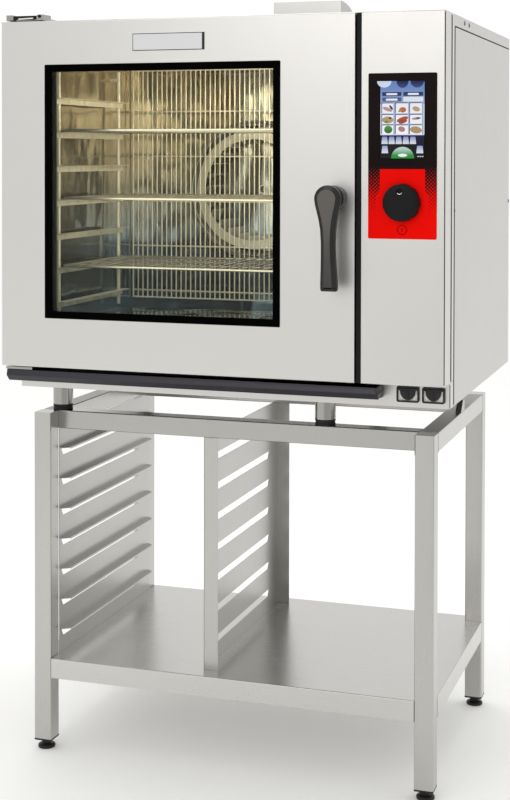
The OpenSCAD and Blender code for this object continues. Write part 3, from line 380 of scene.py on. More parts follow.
def rod(name, start, end, radius, sides=16, edge=0.0):
    freshStart()
    line = at(*end) - at(*start)
    bpy.ops.mesh.primitive_cylinder_add(vertices=sides, radius=radius * mm, depth=line.length,
                                        location=(at(*start) + at(*end)) / 2,
                                        rotation=line.to_track_quat("Z", "Y").to_euler())
    piece = settle(named(name))
    return bevelled(piece, edge, 2, 50) if edge else piece


def lathe(name, rings, centre, facing="up", sides=48):  # rings of (distance along the axis, radius)
    freshStart()
    bpy.ops.mesh.primitive_circle_add(vertices=sides, radius=rings[0][1] * mm, fill_type="NGON",
                                      location=(0, 0, rings[0][0] * mm))
    piece = settle(named(name))
    bpy.ops.object.mode_set(mode="EDIT")
    bpy.ops.mesh.select_all(action="SELECT")
    for (before, last), (here, radius) in zip(rings, rings[1:]):
        bpy.ops.mesh.extrude_region_move(TRANSFORM_OT_translate={"value": (0, 0, (here - before) * mm)})
        grow = radius / last
        bpy.ops.transform.resize(value=(grow, grow, 1), center_override=(0, 0, here * mm))
    bpy.ops.mesh.select_all(action="SELECT")
    bpy.ops.mesh.normals_make_consistent(inside=False)
    bpy.ops.object.mode_set(mode="OBJECT")
    piece.rotation_euler = {"up": (0, 0, 0), "front": (math.pi / 2, 0, 0), "back": (-math.pi / 2, 0, 0),
                            "right": (0, math.pi / 2, 0), "left": (0, -math.pi / 2, 0)}[facing]
    piece.location = at(*centre)
    return settle(piece)


def wireLoop(name, points, radius, closed=False, sides=3):  # a bent wire through these points
    freshStart()
    data = bpy.data.curves.new(name, "CURVE")
    data.dimensions, data.bevel_depth, data.bevel_resolution = "3D", radius * mm, sides
    data.use_fill_caps = True
    spline = data.splines.new("POLY")
    spline.points.add(len(points) - 1)
    for spot, point in zip(spline.points, points):
        spot.co = (*at(*point), 1)
    spline.use_cyclic_u = closed
    piece = bpy.data.objects.new(name, data)
    bpy.context.scene.collection.objects.link(piece)
    pickOnly(piece)
    bpy.ops.object.convert(target="MESH")
    return named(name)


def copied(piece, shift, name="copy"):
    pickOnly(piece)
    bpy.ops.object.duplicate()
    bpy.ops.transform.translate(value=Vector(shift) * mm)
    return settle(named(name))


def repeated(piece, count, step):
    return modified(piece, "ARRAY", count=count, use_relative_offset=False, use_constant_offset=True,
                    constant_offset_displace=Vector(step) * mm)


def turned(piece, degrees, centre, axis="Y"):
    editing(piece)
    bpy.ops.mesh.select_all(action="SELECT")
    bpy.ops.transform.rotate(value=math.radians(degrees), orient_axis=axis, center_override=centre)
    bpy.ops.object.mode_set(mode="OBJECT")
    return piece


def joined(name, pieces):
    pickOnly(*pieces)
    if len(pieces) > 1:
        bpy.ops.object.join()
    return named(name)


def cut(piece, cutter):
    modified(piece, "BOOLEAN", operation="DIFFERENCE", object=cutter, solver="EXACT")
    bpy.data.objects.remove(cutter)
    return piece


def softened(node, name, width=0.5, steps=2, angle=32):  # a copy of a node with its edges eased
    pickOnly(nodes[node])
    bpy.ops.object.duplicate()
    piece = named(name)
    for key in [key for key in piece.keys() if key.startswith("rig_")]:
        del piece[key]
    editing(piece, "VERT")
    bpy.ops.mesh.select_all(action="SELECT")
    bpy.ops.mesh.remove_doubles(threshold=0.00001)
    bpy.ops.mesh.dissolve_limited(angle_limit=math.radians(0.5))
    bpy.ops.object.mode_set(mode="OBJECT")
    return bevelled(piece, width, steps, angle) if width else piece


def done(piece, body, finish, replaced=(), smooth=35):
    pickOnly(piece)
    piece.data.materials.clear()
    for item in finish if isinstance(finish, (list, tuple)) else [finish]:
        piece.data.materials.append(finishes[item] if isinstance(item, str) else item)
    bpy.ops.object.shade_smooth_by_angle(angle=math.radians(smooth))
    modified(piece, "WEIGHTED_NORMAL", weight=100, keep_sharp=True)  # sheets stay flat
    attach(piece, body)
    if replaced:
        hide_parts(*replaced)
    return piece


def painted(node, finish):  # a carried-over node keeps its mesh and gets a finish
    data = nodes[node].data
    data.materials.clear()
    data.materials.append(finishes[finish])


# every node first wears its plain finish
finishNodes = {
    "standSteel": ["stand_legs"],
    "railSteel": ["cross_rails"],
    "sideSteel": ["side_rails", "slide_panel_left", "slide_panel_middle", "side_panel_left",
        "side_panel_right"],
    "shelfSteel": ["lower_shelf"],
    "blackPlastic": ["foot_caps", "selector_knob", "port_frames"],
    "brightSteel": ["oven_feet", "vent_pipe", "vent_damper", "drain_pipe", "drain_strainer",
        "hinge_brackets", "latch_striker", "nameplate", "latch_cam", "fan_wheel"],
    "rubber": ["oven_foot_pads", "door_gasket"],
    "casingSteel": ["base_pan", "top_cover", "back_panel", "front_frame", "vent_cowl", "column_cover",
        "door_inner_frame"],
    "darkSteel": ["side_screws", "heating_element"],
    "cavitySteel": ["cavity"],
    "wool": ["insulation"],
    "brass": ["water_inlet"],
    "greyPlastic": ["cable_gland", "encoder_body", "port_flap_left", "port_flap_right"],
    "traySteel": ["drip_tray"],
    "blackGloss": ["fascia", "touch_screen", "window_trim"],
    "zinc": ["encoder_rotor", "electronics_box", "fan_motor"],
    "doorSteel": ["door_shell"],
    "paneGlass": ["outer_glass", "inner_glass", "oven_lamp"],
    "handlePlastic": ["handle_lever"],
    "wireSteel": ["tray_racks", "shelf_top", "shelf_middle", "shelf_bottom", "fan_guard"],
}
nodeFinish = {node: finish for finish, names in finishNodes.items() for node in names}
for mark in ("fl", "fr", "bl", "br"):
    nodeFinish["level_foot_" + mark] = "rubber"
for node, finish in nodeFinish.items():
    painted(node, finish)
print("nodes painted")

standBox = {"leg": 40, "corner": 2.6, "shelfCorner": 2.0}
legLow, legHigh = span("stand_legs")


def near(value, *choices):
    return any(abs(value - choice) < 0.2 for choice in choices)


def tube(node, name, along, finish, body="base"):  # square tube with rolled long corners
    low, high = span(node)
    side = standBox["leg"]
    sides = [axis for axis in range(3) if axis != along]
    edges = {axis: (low[axis], low[axis] + side, high[axis] - side, high[axis]) for axis in sides}
    piece = softened(node, name, 0)
    roundEdges(piece, lambda a, b: abs(a[along] - b[along]) > 60 and all(
        near(a[axis], b[axis]) and near(a[axis], *edges[axis]) for axis in sides), standBox["corner"])
    return done(piece, body, finish, [node])


def secondFinish(piece, finish, test):  # the faces that pass get a second finish
    piece.data.materials.append(finishes[finish])
    for face in piece.data.polygons:
        face.material_index = int(test(face.normal))


tube("stand_legs", "standLegTubes", 2, "standSteel")
tube("cross_rails", "standCrossTubes", 0, "railSteel")
# painted reflection: the side rails' top faces get a darker steel that stands for the dark casing underside
# they reflect
secondFinish(tube("side_rails", "standSideTubes", 1, "sideRailSteel"), "railTopReflectionSteel", lambda n: n.z > 0.9)

shelfLow, shelfHigh = span("lower_shelf")
lowerShelf = softened("lower_shelf", "foldedLowerShelf", 0)
roundEdges(lowerShelf, lambda a, b: near(a.z, shelfHigh.z) and near(b.z, shelfHigh.z) and (
    near(a.y, b.y, shelfLow.y, shelfHigh.y) and near(a.y, shelfLow.y, shelfHigh.y)
    or near(a.x, shelfLow.x, shelfHigh.x) and near(a.x, b.x)), standBox["shelfCorner"])
done(bevelled(lowerShelf, 0.3, 1), "base", "shelfSteel", ["lower_shelf"])

slides = {"levels": 7, "pitch": 67, "first": 50, "ledge": 16, "sheet": 1.5, "slotFront": 10, "slotBack": 66,
          "slant": 9, "taper": 13, "hiddenTaper": 44}


def pushed(piece, test, shift):  # moves the points that pass
    editing(piece, "VERT")
    bpy.ops.object.mode_set(mode="OBJECT")
    for point in piece.data.vertices:
        point.select = bool(test(away(point.co)))
    bpy.ops.object.mode_set(mode="EDIT")
    bpy.ops.transform.translate(value=Vector(shift) * mm)
    bpy.ops.object.mode_set(mode="OBJECT")
    return piece


def slidePanel(node, name, x, side, taper):  # a sheet with slots, and a bent ledge over each
    low, high = span(node)
    sheet = slab(name, (x, low.y, low.z), (x + slides["sheet"], high.y, high.z), 0)
    first = low.z + slides["first"]
    slot = slab("slot", (x - 3, low.y + slides["slotFront"], first - slides["ledge"]),
                (x + 5, high.y - slides["slotBack"], first), 0)
    pushed(slot, lambda p: p.z < first - 1 and p.y < low.y + 60, (0, slides["slant"], 0))
    pushed(slot, lambda p: p.z < first - 1 and p.y > low.y + 60, (0, -slides["slant"], 0))
    roundEdges(slot, lambda a, b: near(a.y, b.y) and near(a.z, b.z), 2.2, 3)
    repeated(slot, slides["levels"], (0, 0, slides["pitch"]))
    cut(sheet, slot)
    bevelled(sheet, 0.3, 1)
    reach = slides["ledge"] if side > 0 else -slides["ledge"]
    root = x + slides["sheet"] if side > 0 else x
    ledge = slab("ledge", (min(root - 0.4 * side, root + reach), low.y + 5, first),
                 (max(root - 0.4 * side, root + reach), high.y - 5, first + slides["sheet"]), 0)
    pushed(ledge, lambda p: abs(p.x - root) > 8 and p.y < low.y + 60, (0, taper, 0))
    pushed(ledge, lambda p: abs(p.x - root) > 8 and p.y > low.y + 60, (0, -taper, 0))
    inset = 24 if side > 0 else 54
    edges = sorted((root + reach, root + reach - 1.5 * side))
    lip = slab("lip", (edges[0], low.y + inset, first - 3), (edges[1], high.y - inset, first + 1), 0)
    ledge = bevelled(joined("ledge", [ledge, lip]), 0.4, 2)
    repeated(ledge, slides["levels"], (0, 0, slides["pitch"]))
    return sheet, ledge, low, high


leftLow = span("slide_panel_left")[0]
sheet, ledge, low, high = slidePanel("slide_panel_left", "trayPanelLeft", leftLow.x, 1, slides["taper"])
done(joined("trayPanelLeft", [ledge, sheet]), "base", "sideSteel", ["slide_panel_left"])
middleLow = span("slide_panel_middle")[0]
middleSheet = middleLow.x + slides["ledge"]
sheet, ledge, low, high = slidePanel("slide_panel_middle", "trayPanelMiddle", middleSheet, -1,
                                     slides["hiddenTaper"])
flanges = [slab("flange", (middleSheet, y, low.z), (high.x, y + slides["sheet"], high.z), 0.5)
           for y in (low.y, high.y - slides["sheet"])]
done(joined("trayPanelMiddle", [ledge, *flanges, sheet]), "base", "sideSteel", ["slide_panel_middle"])

feet = {"nutHeight": 9.4, "stemFrom": 19,  # rings give a height and a radius
        "rings": [(0, 16.5), (0.8, 18.4), (2.2, 19), (5, 19), (6.4, 18.2), (8, 15.5), (9, 12.4), (9.2, 8.6),
                  (15, 8.6), (15.4, 6), (19.3, 6)],
        "nut": [(0, 9.6), (0.6, 10.4), (4.6, 10.4), (5.2, 9.6)]}
caps = softened("foot_caps", "standFootCaps", 0.7, 2)
done(caps, "base", "blackPlastic", ["foot_caps"])
for mark in ("fl", "fr", "bl", "br"):
    low, high = span("level_foot_" + mark)
    middle = (low + high) / 2
    foot = lathe("levellingFoot_" + mark, feet["rings"], (middle.x, middle.y, 0), "up", 40)
    nut = lathe("nut", feet["nut"], (middle.x, middle.y, feet["nutHeight"]), "up", 6)
    stem = softened("level_foot_" + mark, "stem", 0)
    pickFaces(stem, lambda p, n: p.z < feet["stemFrom"])
    bpy.ops.mesh.delete(type="FACE")
    editing(stem, "EDGE")
    bpy.ops.mesh.select_non_manifold()
    bpy.ops.mesh.edge_face_add()
    bpy.ops.object.mode_set(mode="OBJECT")
    foot = joined("levellingFoot_" + mark, [nut, stem, foot])
    done(foot, "foot_" + mark, "blackPlastic", ["level_foot_" + mark])

ovenFeet = {"radius": 22, "tube": 21.8, "groove": 8.6,
            "pad": [(0, 20.4), (0.8, 21.4), (2.6, 21.6), (6, 20.2), (9.4, 21.6), (11.4, 21.8), (12, 21.2)]}
padLow, padHigh = span("oven_foot_pads")
footLow, footHigh = span("oven_feet")
radius = ovenFeet["radius"]
tubes, pads = [], []
for x in (footLow.x + radius, footHigh.x - radius):
    for y in (footLow.y + radius, footHigh.y - radius):
        pads.append(lathe("pad", ovenFeet["pad"], (x, y, padLow.z), "up", 48))
        tall = footHigh.z - padHigh.z
        wide, groove = ovenFeet["tube"], tall - ovenFeet["groove"]
        tubes.append(lathe("leg", [(0, wide - 0.8), (0.7, wide), (groove - 0.4, wide), (groove, wide - 0.4),
                                   (groove + 0.4, wide), (tall, wide)], (x, y, padHigh.z), "up", 56))
done(joined("ovenFootTubes", tubes), "base", "footSteel", ["oven_feet"])
done(joined("ovenFootPads", pads), "base", "rubber", ["oven_foot_pads"])
railLow, railHigh = span("side_rails")
stopTab = {"from": 288, "to": 330, "tall": 24, "slope": 24, "inset": 14}
stop = slab("stop", (railHigh.x - stopTab["inset"], legLow.y + stopTab["from"], railHigh.z - 0.4),
            (railHigh.x - 1, legLow.y + stopTab["to"], railHigh.z + stopTab["tall"]), 0)
front = legLow.y + stopTab["from"] + 12
pushed(stop, lambda p: p.z > railHigh.z + 5 and p.y < front, (0, stopTab["slope"], 0))
done(bevelled(stop, 0.8), "base", "footSteel").name = "ovenStopTab"
welds = {"wide": 0.9, "proud": 0.12, "shelfEdge": 43}
marks = []
for low, high in ((railLow.z, railHigh.z), (shelfHigh.z - welds["shelfEdge"], shelfHigh.z)):
    for x in (legLow.x + standBox["leg"], legHigh.x - standBox["leg"]):
        marks.append(slab("mark", (x - welds["wide"] / 2, legLow.y - welds["proud"], low),
                          (x + welds["wide"] / 2, legLow.y + 0.5, high), 0))
    for y in (legLow.y + standBox["leg"], legHigh.y - standBox["leg"]):
        marks.append(slab("mark", (legHigh.x - 0.5, y - welds["wide"] / 2, low),
                          (legHigh.x + welds["proud"], y + welds["wide"] / 2, high), 0))
done(joined("weldLines", marks), "base", "undersideSteel")
print("stand made")

casing = {"doorCorner": 3.2, "columnCorner": 2.2}  # radii of the rolled edges
for node, name, finish, width in [
        ("base_pan", "basePan", "casingSteel", 0.6), ("side_panel_left", "sideSheetLeft", "sideSteel", 0.5),
        ("side_panel_right", "sideSheetRight", "panelSteel", 0.5),
        ("top_cover", "topCover", "panelSteel", 0.7), ("back_panel", "backSheet", "casingSteel", 0.4),
        ("front_frame", "frontFrame", "casingSteel", 0.4), ("vent_cowl", "ventCowl", "sideSteel", 0.7),
        ("door_inner_frame", "doorInnerFrame", "casingSteel", 0.5),
        ("column_cover", "columnCover", "doorSteel", 0)]:
    piece = softened(node, name, width)
    if node == "column_cover":
        low, high = span(node)
        roundEdges(piece, lambda a, b: near(a.y, low.y) and near(b.y, low.y) and (
            near(a.x, b.x) and near(a.x, low.x, high.x) or near(a.z, b.z) and near(a.z, low.z, high.z)),
            casing["columnCorner"])
    done(piece, "door" if node == "door_inner_frame" else "base", finish, [node])
    if node == "base_pan":  # painted shade: its underside gets a dark steel that stands for the shade under the casing
        secondFinish(piece, "undersideSteel", lambda n: n.z < -0.9)

shellLow, shellHigh = span("door_shell")
shell = softened("door_shell", "doorShell", 0)
roundEdges(shell, lambda a, b: near(a.y, shellLow.y) and near(b.y, shellLow.y) and (
    near(a.x, b.x) and near(a.x, shellLow.x, shellHigh.x)
    or near(a.z, b.z) and near(a.z, shellLow.z, shellHigh.z)), casing["doorCorner"], 4)
done(shell, "door", "doorSteel", ["door_shell"])
done(softened("window_trim", "windowTrim", 0.45), "door", "blackGloss", ["window_trim"])
done(softened("outer_glass", "outerPane", 0.5), "door", "paneGlass", ["outer_glass"])
done(softened("inner_glass", "innerPane", 0.5), "door", "innerPaneGlass", ["inner_glass"])
done(softened("door_gasket", "doorGasket", 1.2, 3), "base", "rubber", ["door_gasket"])

screws = {"places": [(200, 1568), (249, 1568), (101, 1196.5), (759, 1196.5)],
          "head": [(0, 4.7), (0.5, 4.7), (0.9, 3.9), (0.98, 2.4)], "cross": (0.45, 2.6)}
screwHigh = span("side_screws")[1]
heads = []
for y, z in screws["places"]:
    head = lathe("head", screws["head"], (screwHigh.x - 1, y, z), "right", 24)
    for across in (screws["cross"], screws["cross"][::-1]):
        cut(head, slab("cross", (screwHigh.x - 0.7, y - across[0], z - across[1]),
                       (screwHigh.x + 1, y + across[0], z + across[1]), 0))
    heads.append(head)
done(joined("sideScrewHeads", heads), "base", "darkSteel", ["side_screws"], smooth=25)
seams = {"proud": 0.15, "cover": (1552.6, 1555.4), "gap": (758.2, 768.9, 4, 62),
         "strips": [(1.5, 10, 869, 1575), (65, 75, 868, 1574), (95.5, 104, 818, 1553), (60, 66, 817, 862)]}
sideX = screwHigh.x - 1
# painted shade: thin dark strips proud of the side face stand for the shade in its seams and grooves
strips = [slab("strip", (sideX - 0.3, y0, low), (sideX + seams["proud"], y1, high), 0.1, 1)
          for y0, y1, low, high in seams["strips"]]
strips.append(slab("strip", (sideX - 0.3, 100, seams["cover"][0]),
                   (sideX + seams["proud"], 757, seams["cover"][1]), 0.1, 1))
done(joined("sideSeamShades", strips), "base", "seamDark")
x0, x1, y0, y1 = seams["gap"]
# painted shade: a black block fills the gap between door and column, standing for the shade in it
gapShade = slab("columnGapShade", (x0, y0, shellLow.z + 1), (x1, y1, shellHigh.z - 1), 1.2, 3)
done(gapShade, "base", "knobPlastic")
print("casing made")

tray = {"ridge": 15, "under": 9, "over": 3, "endUnder": -14, "endOver": -9, "leftUnder": (4, 0, 9)}
trayLow, trayHigh = span("drip_tray")
dripTray = softened("drip_tray", "dripTray", 0)
editing(dripTray, "EDGE")
bpy.ops.mesh.select_all(action="SELECT")
bpy.ops.mesh.bisect(plane_co=at(0, 0, trayLow.z + tray["ridge"]), plane_no=(0, 0, 1))
bpy.ops.object.mode_set(mode="OBJECT")
pushed(dripTray, lambda p: p.y < trayLow.y + 0.3 and p.z < trayLow.z + 1, (0, tray["under"], 0))
pushed(dripTray, lambda p: p.y < trayLow.y + 0.3 and p.z > trayHigh.z - 1, (0, tray["over"], 0))
pushed(dripTray, lambda p: p.x > trayHigh.x - 0.3 and p.z < trayLow.z + 1, (tray["endUnder"], 0, 0))
pushed(dripTray, lambda p: p.x < trayLow.x + 0.3 and p.z < trayLow.z + 1, tray["leftUnder"])
pushed(dripTray, lambda p: p.x > trayHigh.x - 0.3 and p.z > trayHigh.z - 1, (tray["endOver"], 0, 0))
done(bevelled(dripTray, 0.5, 2, 14), "base", "traySteel", ["drip_tray"])

fasciaLow = span("fascia")[0]
fasciaLook = {"blockLeft": 23, "blockRight": 110.5, "blockTop": 132.6, "shoulder": 95, "hip": 77, "flare": 8,
              "fadeBottom": 44, "dot": 6.8}


def fasciaFinish():
    look = fasciaLook
    mix = Recipe("fasciaPrint")
    x, y, z = mix.parts(mix.where)
    across = (x - at(fasciaLow.x, 0, 0).x) / mm
    height = (z - at(0, 0, fasciaLow.z).z) / mm
    flare = height.ramp(look["hip"], look["shoulder"], look["flare"], 0)
    block = (across > look["blockLeft"] - flare) * (across < look["blockRight"] + flare)
    block = block * (height < look["blockTop"])
    wave = 2 * math.pi / look["dot"]
    dots = mix.add("ShaderNodeMath", {"operation": "COSINE"}, [across * wave]) * mix.add(
        "ShaderNodeMath", {"operation": "COSINE"}, [height * wave]) * 2
    level = 1.9 - (height - look["fadeBottom"]) * (3.7 / (look["blockTop"] - look["fadeBottom"]))
    red = block.sum("MAXIMUM", block, (dots < level) * (height < look["blockTop"] + 6))
    grime = mix.noise(30, 3)
    colour = mix.blend(red, (0.009, 0.007, 0.007), (0.92, 0.003, 0.001))
    colour = mix.blend(grime * 0.05, colour, (0.10, 0.01, 0.01))
    return mix.finish(mix.glossy(BaseColor=colour, Roughness=0.30 + grime * 0.08, SpecularIORLevel=0.03))


finishes["fasciaPrint"] = fasciaFinish()
done(softened("fascia", "fasciaPanel", 0.4), "base", "fasciaPrint", ["fascia"])

screen = {"lift": 0.06, "lip": 6}
screenLow, screenHigh = span("touch_screen")
screenFace = screenLow.y
lip = Vector((screen["lip"], 0, screen["lip"]))  # the part of the glass that lies behind the panel
screenLow, screenHigh = screenLow + lip, screenHigh - lip


def screenPoint(across, down, level):
    return at(screenLow.x + across, screenFace - screen["lift"] * level, screenHigh.z - down)


def tile(name, left, top, right, bottom, level, narrow=0.0, round=0.0):  # a thin printed field of the display
    freshStart()
    middle = screenPoint((left + right) / 2, (top + bottom) / 2, level)
    size = ((right - left) * mm, 0.04 * mm, (bottom - top) * mm)
    bpy.ops.mesh.primitive_cube_add(size=1, location=middle, scale=size)
    piece = settle(named(name))
    if narrow:
        topZ, middleX = screenHigh.z - top, screenLow.x + (left + right) / 2
        pushed(piece, lambda p: abs(p.z - topZ) < 0.2 and p.x < middleX, (narrow, 0, 0))
        pushed(piece, lambda p: abs(p.z - topZ) < 0.2 and p.x > middleX, (-narrow, 0, 0))
    if round:
        roundEdges(piece, lambda a, b: near(a.x, b.x) and near(a.z, b.z), round, 3)
    return piece


def spot(name, across, down, wide, tall, level, turn=0.0, sides=24):
    freshStart()
    bpy.ops.mesh.primitive_cylinder_add(vertices=sides, radius=1, depth=1, rotation=(math.pi / 2, turn, 0),
                                        location=screenPoint(across, down, level))
    piece = named(name)
    grow = 1.22 if name == "food" else 1
    piece.scale = (wide * grow * mm, tall * grow * mm, 0.04 * mm)
    return settle(piece)


def glow(name, top, bottom, topZ, bottomZ, strength):  # a lit field that shades from one colour to another
    mix = Recipe(name)
    x, y, z = mix.parts(mix.where)
    share = z.ramp(at(0, 0, bottomZ).z, at(0, 0, topZ).z)
    grid = mix.noise(2600, 1.0)
    colour = mix.blend(share, bottom, top)
    colour = mix.blend(grid * 0.16, colour, (0.02, 0.02, 0.03))
    return mix.finish(mix.glossy(BaseColor=(0.01, 0.01, 0.012), EmissionColor=colour, Roughness=0.3,
                                 EmissionStrength=strength, SpecularIORLevel=0.1))


z0 = screenHigh.z
screenGlow = {  # name: colour at its top, colour at its bottom, where those are, strength
    "skyField": ((0.20, 0.38, 0.88), (0.62, 0.72, 0.98), z0, z0 - 60, 0.60),
    "paleField": ((0.72, 0.80, 0.98), (0.86, 0.90, 1.0), z0, z0 - 40, 0.88),
    "navyField": ((0.012, 0.02, 0.12), (0.07, 0.12, 0.42), z0, z0 - 14, 0.5),
    "nightField": ((0.010, 0.012, 0.10), (0.004, 0.004, 0.01), z0 - 102, z0 - 126, 0.5),
    "buttonBlue": ((0.02, 0.04, 0.20), (0.16, 0.26, 0.62), z0 - 20, z0 - 42, 0.5),
    "buttonPale": ((0.30, 0.38, 0.75), (0.90, 0.93, 1.0), z0 - 105, z0 - 120, 0.8),
    "buttonPaleLow": ((0.42, 0.50, 0.85), (0.90, 0.93, 1.0), z0 - 123, z0 - 137, 0.8),
    "startGreen": ((0.72, 0.95, 0.86), (0.02, 0.42, 0.05), z0 - 126, z0 - 143, 0.7),
    "plateWhite": ((0.86, 0.88, 0.93), (0.95, 0.96, 0.98), z0 - 40, z0 - 102, 0.98),
    "foodRed": ((0.75, 0.20, 0.08), (0.55, 0.10, 0.05), z0 - 50, z0 - 80, 0.7),
    "foodTan": ((0.72, 0.50, 0.26), (0.62, 0.40, 0.20), z0 - 45, z0 - 100, 0.7),
    "foodGreen": ((0.10, 0.42, 0.06), (0.03, 0.20, 0.03), z0 - 85, z0 - 100, 0.7),
    "foodPink": ((0.72, 0.42, 0.42), (0.60, 0.30, 0.30), z0 - 45, z0 - 100, 0.7),
    "foodDark": ((0.10, 0.06, 0.05), (0.05, 0.03, 0.03), z0 - 45, z0 - 100, 0.3),
}
for name, values in screenGlow.items():
    finishes[name] = glow(name, *values)

done(softened("touch_screen", "screenGlass", 0.3), "base", "blackGloss", ["touch_screen"])
columns = [(4.1, 26), (30.7, 54.4), (58.2, 81)]
rows = [(42.6, 61.7), (64.6, 81.4), (84.3, 101.2)]
fields = {
    "skyField": [tile("sky", 0.6, 0.4, 85.9, 103, 1, round=2.5)],
    "nightField": [tile("night", 0.6, 103.4, 85.9, 147, 1)],
    "paleField": [spot("swoosh", 8, 0.6, 14, 12, 2), tile("palePanel", 45, 30.5, 83.5, 39.5, 3, round=1),
                  tile("rimLeft", 0.8, 44, 2.2, 102.5, 3), tile("rimRight", 84.2, 44, 85.6, 102.5, 3),
                  tile("rimBottom", 1.5, 101.4, 85, 102.8, 3)],
    "navyField": [spot("tabOne", 43.5, 0.6, 11.6, 13, 2), spot("tabTwo", 71.8, 0.6, 13, 12.6, 2)]
    + [tile("shade", a - 1.4, c - 1.4, b - 1, d - 1, 3) for a, b in columns for c, d in rows],
    "buttonBlue": [tile("button", 4.1, 21.3, 41.3, 29, 3, round=1),
                   tile("button", 45.2, 21.3, 83.4, 29, 3, round=1),
                   tile("button", 4.1, 31.6, 41.3, 39.2, 3, round=1)],
    "buttonPale": [tile("key", 2.7 + 13.7 * i, 105.8, 15.3 + 13.7 * i, 119.7, 3, 1.6, 0.8) for i in range(5)],
    "buttonPaleLow": [tile("key", 3, 123.2, 16, 137.2, 3, 1.6, 0.8),
                      tile("key", 70.4, 123.2, 84, 137.2, 3, 1.6, 0.8)]
    + [tile("dash", 72.5 + 4.2 * i, 142.4, 75.6 + 4.2 * i, 144, 3) for i in range(3)],
    "startGreen": [spot("dome", 43.9, 147, 22.3, 22, 3, sides=48)],
    "plateWhite": [tile("plate", a, c, b, d, 4, round=0.8) for a, b in columns for c, d in rows]
    + [tile("label", 12, 23.3, 33.5, 27, 4, round=1.5), tile("label", 53.5, 23.3, 75, 27, 4, round=1.5),
       tile("label", 11, 33.6, 34, 37.4, 4, round=1.5), spot("gleam", 43.9, 141, 9, 3, 4)],
    "foodRed": [spot("food", 43.5, 73, 9.6, 3.6, 5, -0.35), spot("food", 44.5, 77.6, 7, 2.6, 5, -0.3),
                spot("food", 44, 55, 5.6, 4.2, 5)],
    "foodTan": [spot("food", 70, 53.5, 6.2, 3.8, 5, 0.3), spot("food", 15, 74, 9, 5.4, 5),
                spot("food", 69.6, 93, 9.4, 5.4, 5, 0.15), spot("food", 39.5, 56.5, 2.4, 1.6, 5)],
    "foodGreen": [spot("food", 16, 92.3, 6.6, 6, 5), spot("food", 12.6, 77.5, 2.4, 1.8, 6),
                  spot("food", 37.4, 57.8, 1.8, 1.0, 6)],
    "foodPink": [spot("food", 14.5, 53.8, 8, 2.8, 5, 0.35), spot("food", 42, 91.5, 5.6, 4.2, 5, 0.3),
                 spot("food", 70.5, 71.5, 7.4, 2.0, 5, -0.1)],
    "foodDark": [spot("food", 21.5, 50.5, 4.4, 1.6, 6, 0.9), spot("food", 19.5, 70.5, 2.2, 1.4, 6),
                 spot("food", 73.5, 70.6, 2.6, 1.2, 6)],
}
below = screenLow.z + 0.6
for name, pieces in fields.items():
    piece = joined("screen_" + name, pieces)
    for level, normal in ((z0 - 0.4, (0, 0, 1)), (below, (0, 0, -1))):
        editing(piece, "FACE")
        bpy.ops.mesh.select_all(action="SELECT")
        bpy.ops.mesh.bisect(plane_co=at(0, 0, level), plane_no=normal, clear_outer=True, use_fill=True)
        bpy.ops.object.mode_set(mode="OBJECT")
    done(piece, "base", name, smooth=20)

knob = {"radius": 37, "lobes": 9, "lobeRadius": 13, "lobeDepth": 2.2, "dimple": 6.9,
        "dimpleAt": (-1.6, 20.7), "glint": 4.6}
knobLow, knobHigh = span("selector_knob")
knobMiddle = (knobLow + knobHigh) / 2
deep = knobHigh.y - knobLow.y
knobBody = lathe("selectorKnob", [(0, 35.6), (0.6, 36.4), (3, 36.8), (deep - 6.5, 35.8), (deep - 3.4, 34.6),
                                  (deep - 1.5, 32.4), (deep - 0.5, 29), (deep - 0.15, 22), (deep - 0.1, 8)],
                 (knobMiddle.x, knobHigh.y, knobMiddle.z), "front", 96)
for i in range(knob["lobes"]):
    angle = 2 * math.pi * (i + 0.5) / knob["lobes"]
    reach = knob["radius"] + knob["lobeRadius"] - knob["lobeDepth"]
    x, z = knobMiddle.x + math.cos(angle) * reach, knobMiddle.z + math.sin(angle) * reach
    cut(knobBody, rod("lobe", (x, knobLow.y - 3, z), (x, knobHigh.y - 3.5, z), knob["lobeRadius"], 32))
dimpleX, dimpleZ = knobMiddle.x + knob["dimpleAt"][0], knobMiddle.z + knob["dimpleAt"][1]
freshStart()
bpy.ops.mesh.primitive_uv_sphere_add(segments=32, ring_count=16, radius=knob["dimple"] * mm,
                                     location=at(dimpleX, knobLow.y - 1.6, dimpleZ))
cut(knobBody, settle(named("bowl")))
bevelled(knobBody, 0.35, 2, 28)
done(knobBody, "knob", "knobPlastic", ["selector_knob"], smooth=30)
# painted highlight: a chrome crescent wire round the lower rim of the dimple stands for its glint
crescent = [(dimpleX + knob["glint"] * math.cos(math.radians(a)), knobLow.y + 1.6,
             dimpleZ + knob["glint"] * math.sin(math.radians(a))) for a in range(200, 345, 12)]
glintArc = wireLoop("dimpleGlint", crescent, 0.75, False, 3)
done(glintArc, "knob", "chrome", smooth=50)

mark = {"height": 17.4, "radius": 8.9, "line": 0.6, "bar": 4}
markX, markZ = knobMiddle.x, fasciaLow.z + mark["height"]
ring = [(markX + mark["radius"] * math.cos(a * math.pi / 24), fasciaLow.y - 0.05,
         markZ + mark["radius"] * math.sin(a * math.pi / 24)) for a in range(48)]
markPieces = [wireLoop("ring", ring, mark["line"], True, 2),
              slab("bar", (markX - mark["line"], fasciaLow.y - 0.35, markZ - mark["bar"]),
                   (markX + mark["line"], fasciaLow.y + 0.2, markZ + mark["bar"]), 0.2)]
done(joined("powerMark", markPieces), "base", "markRed")

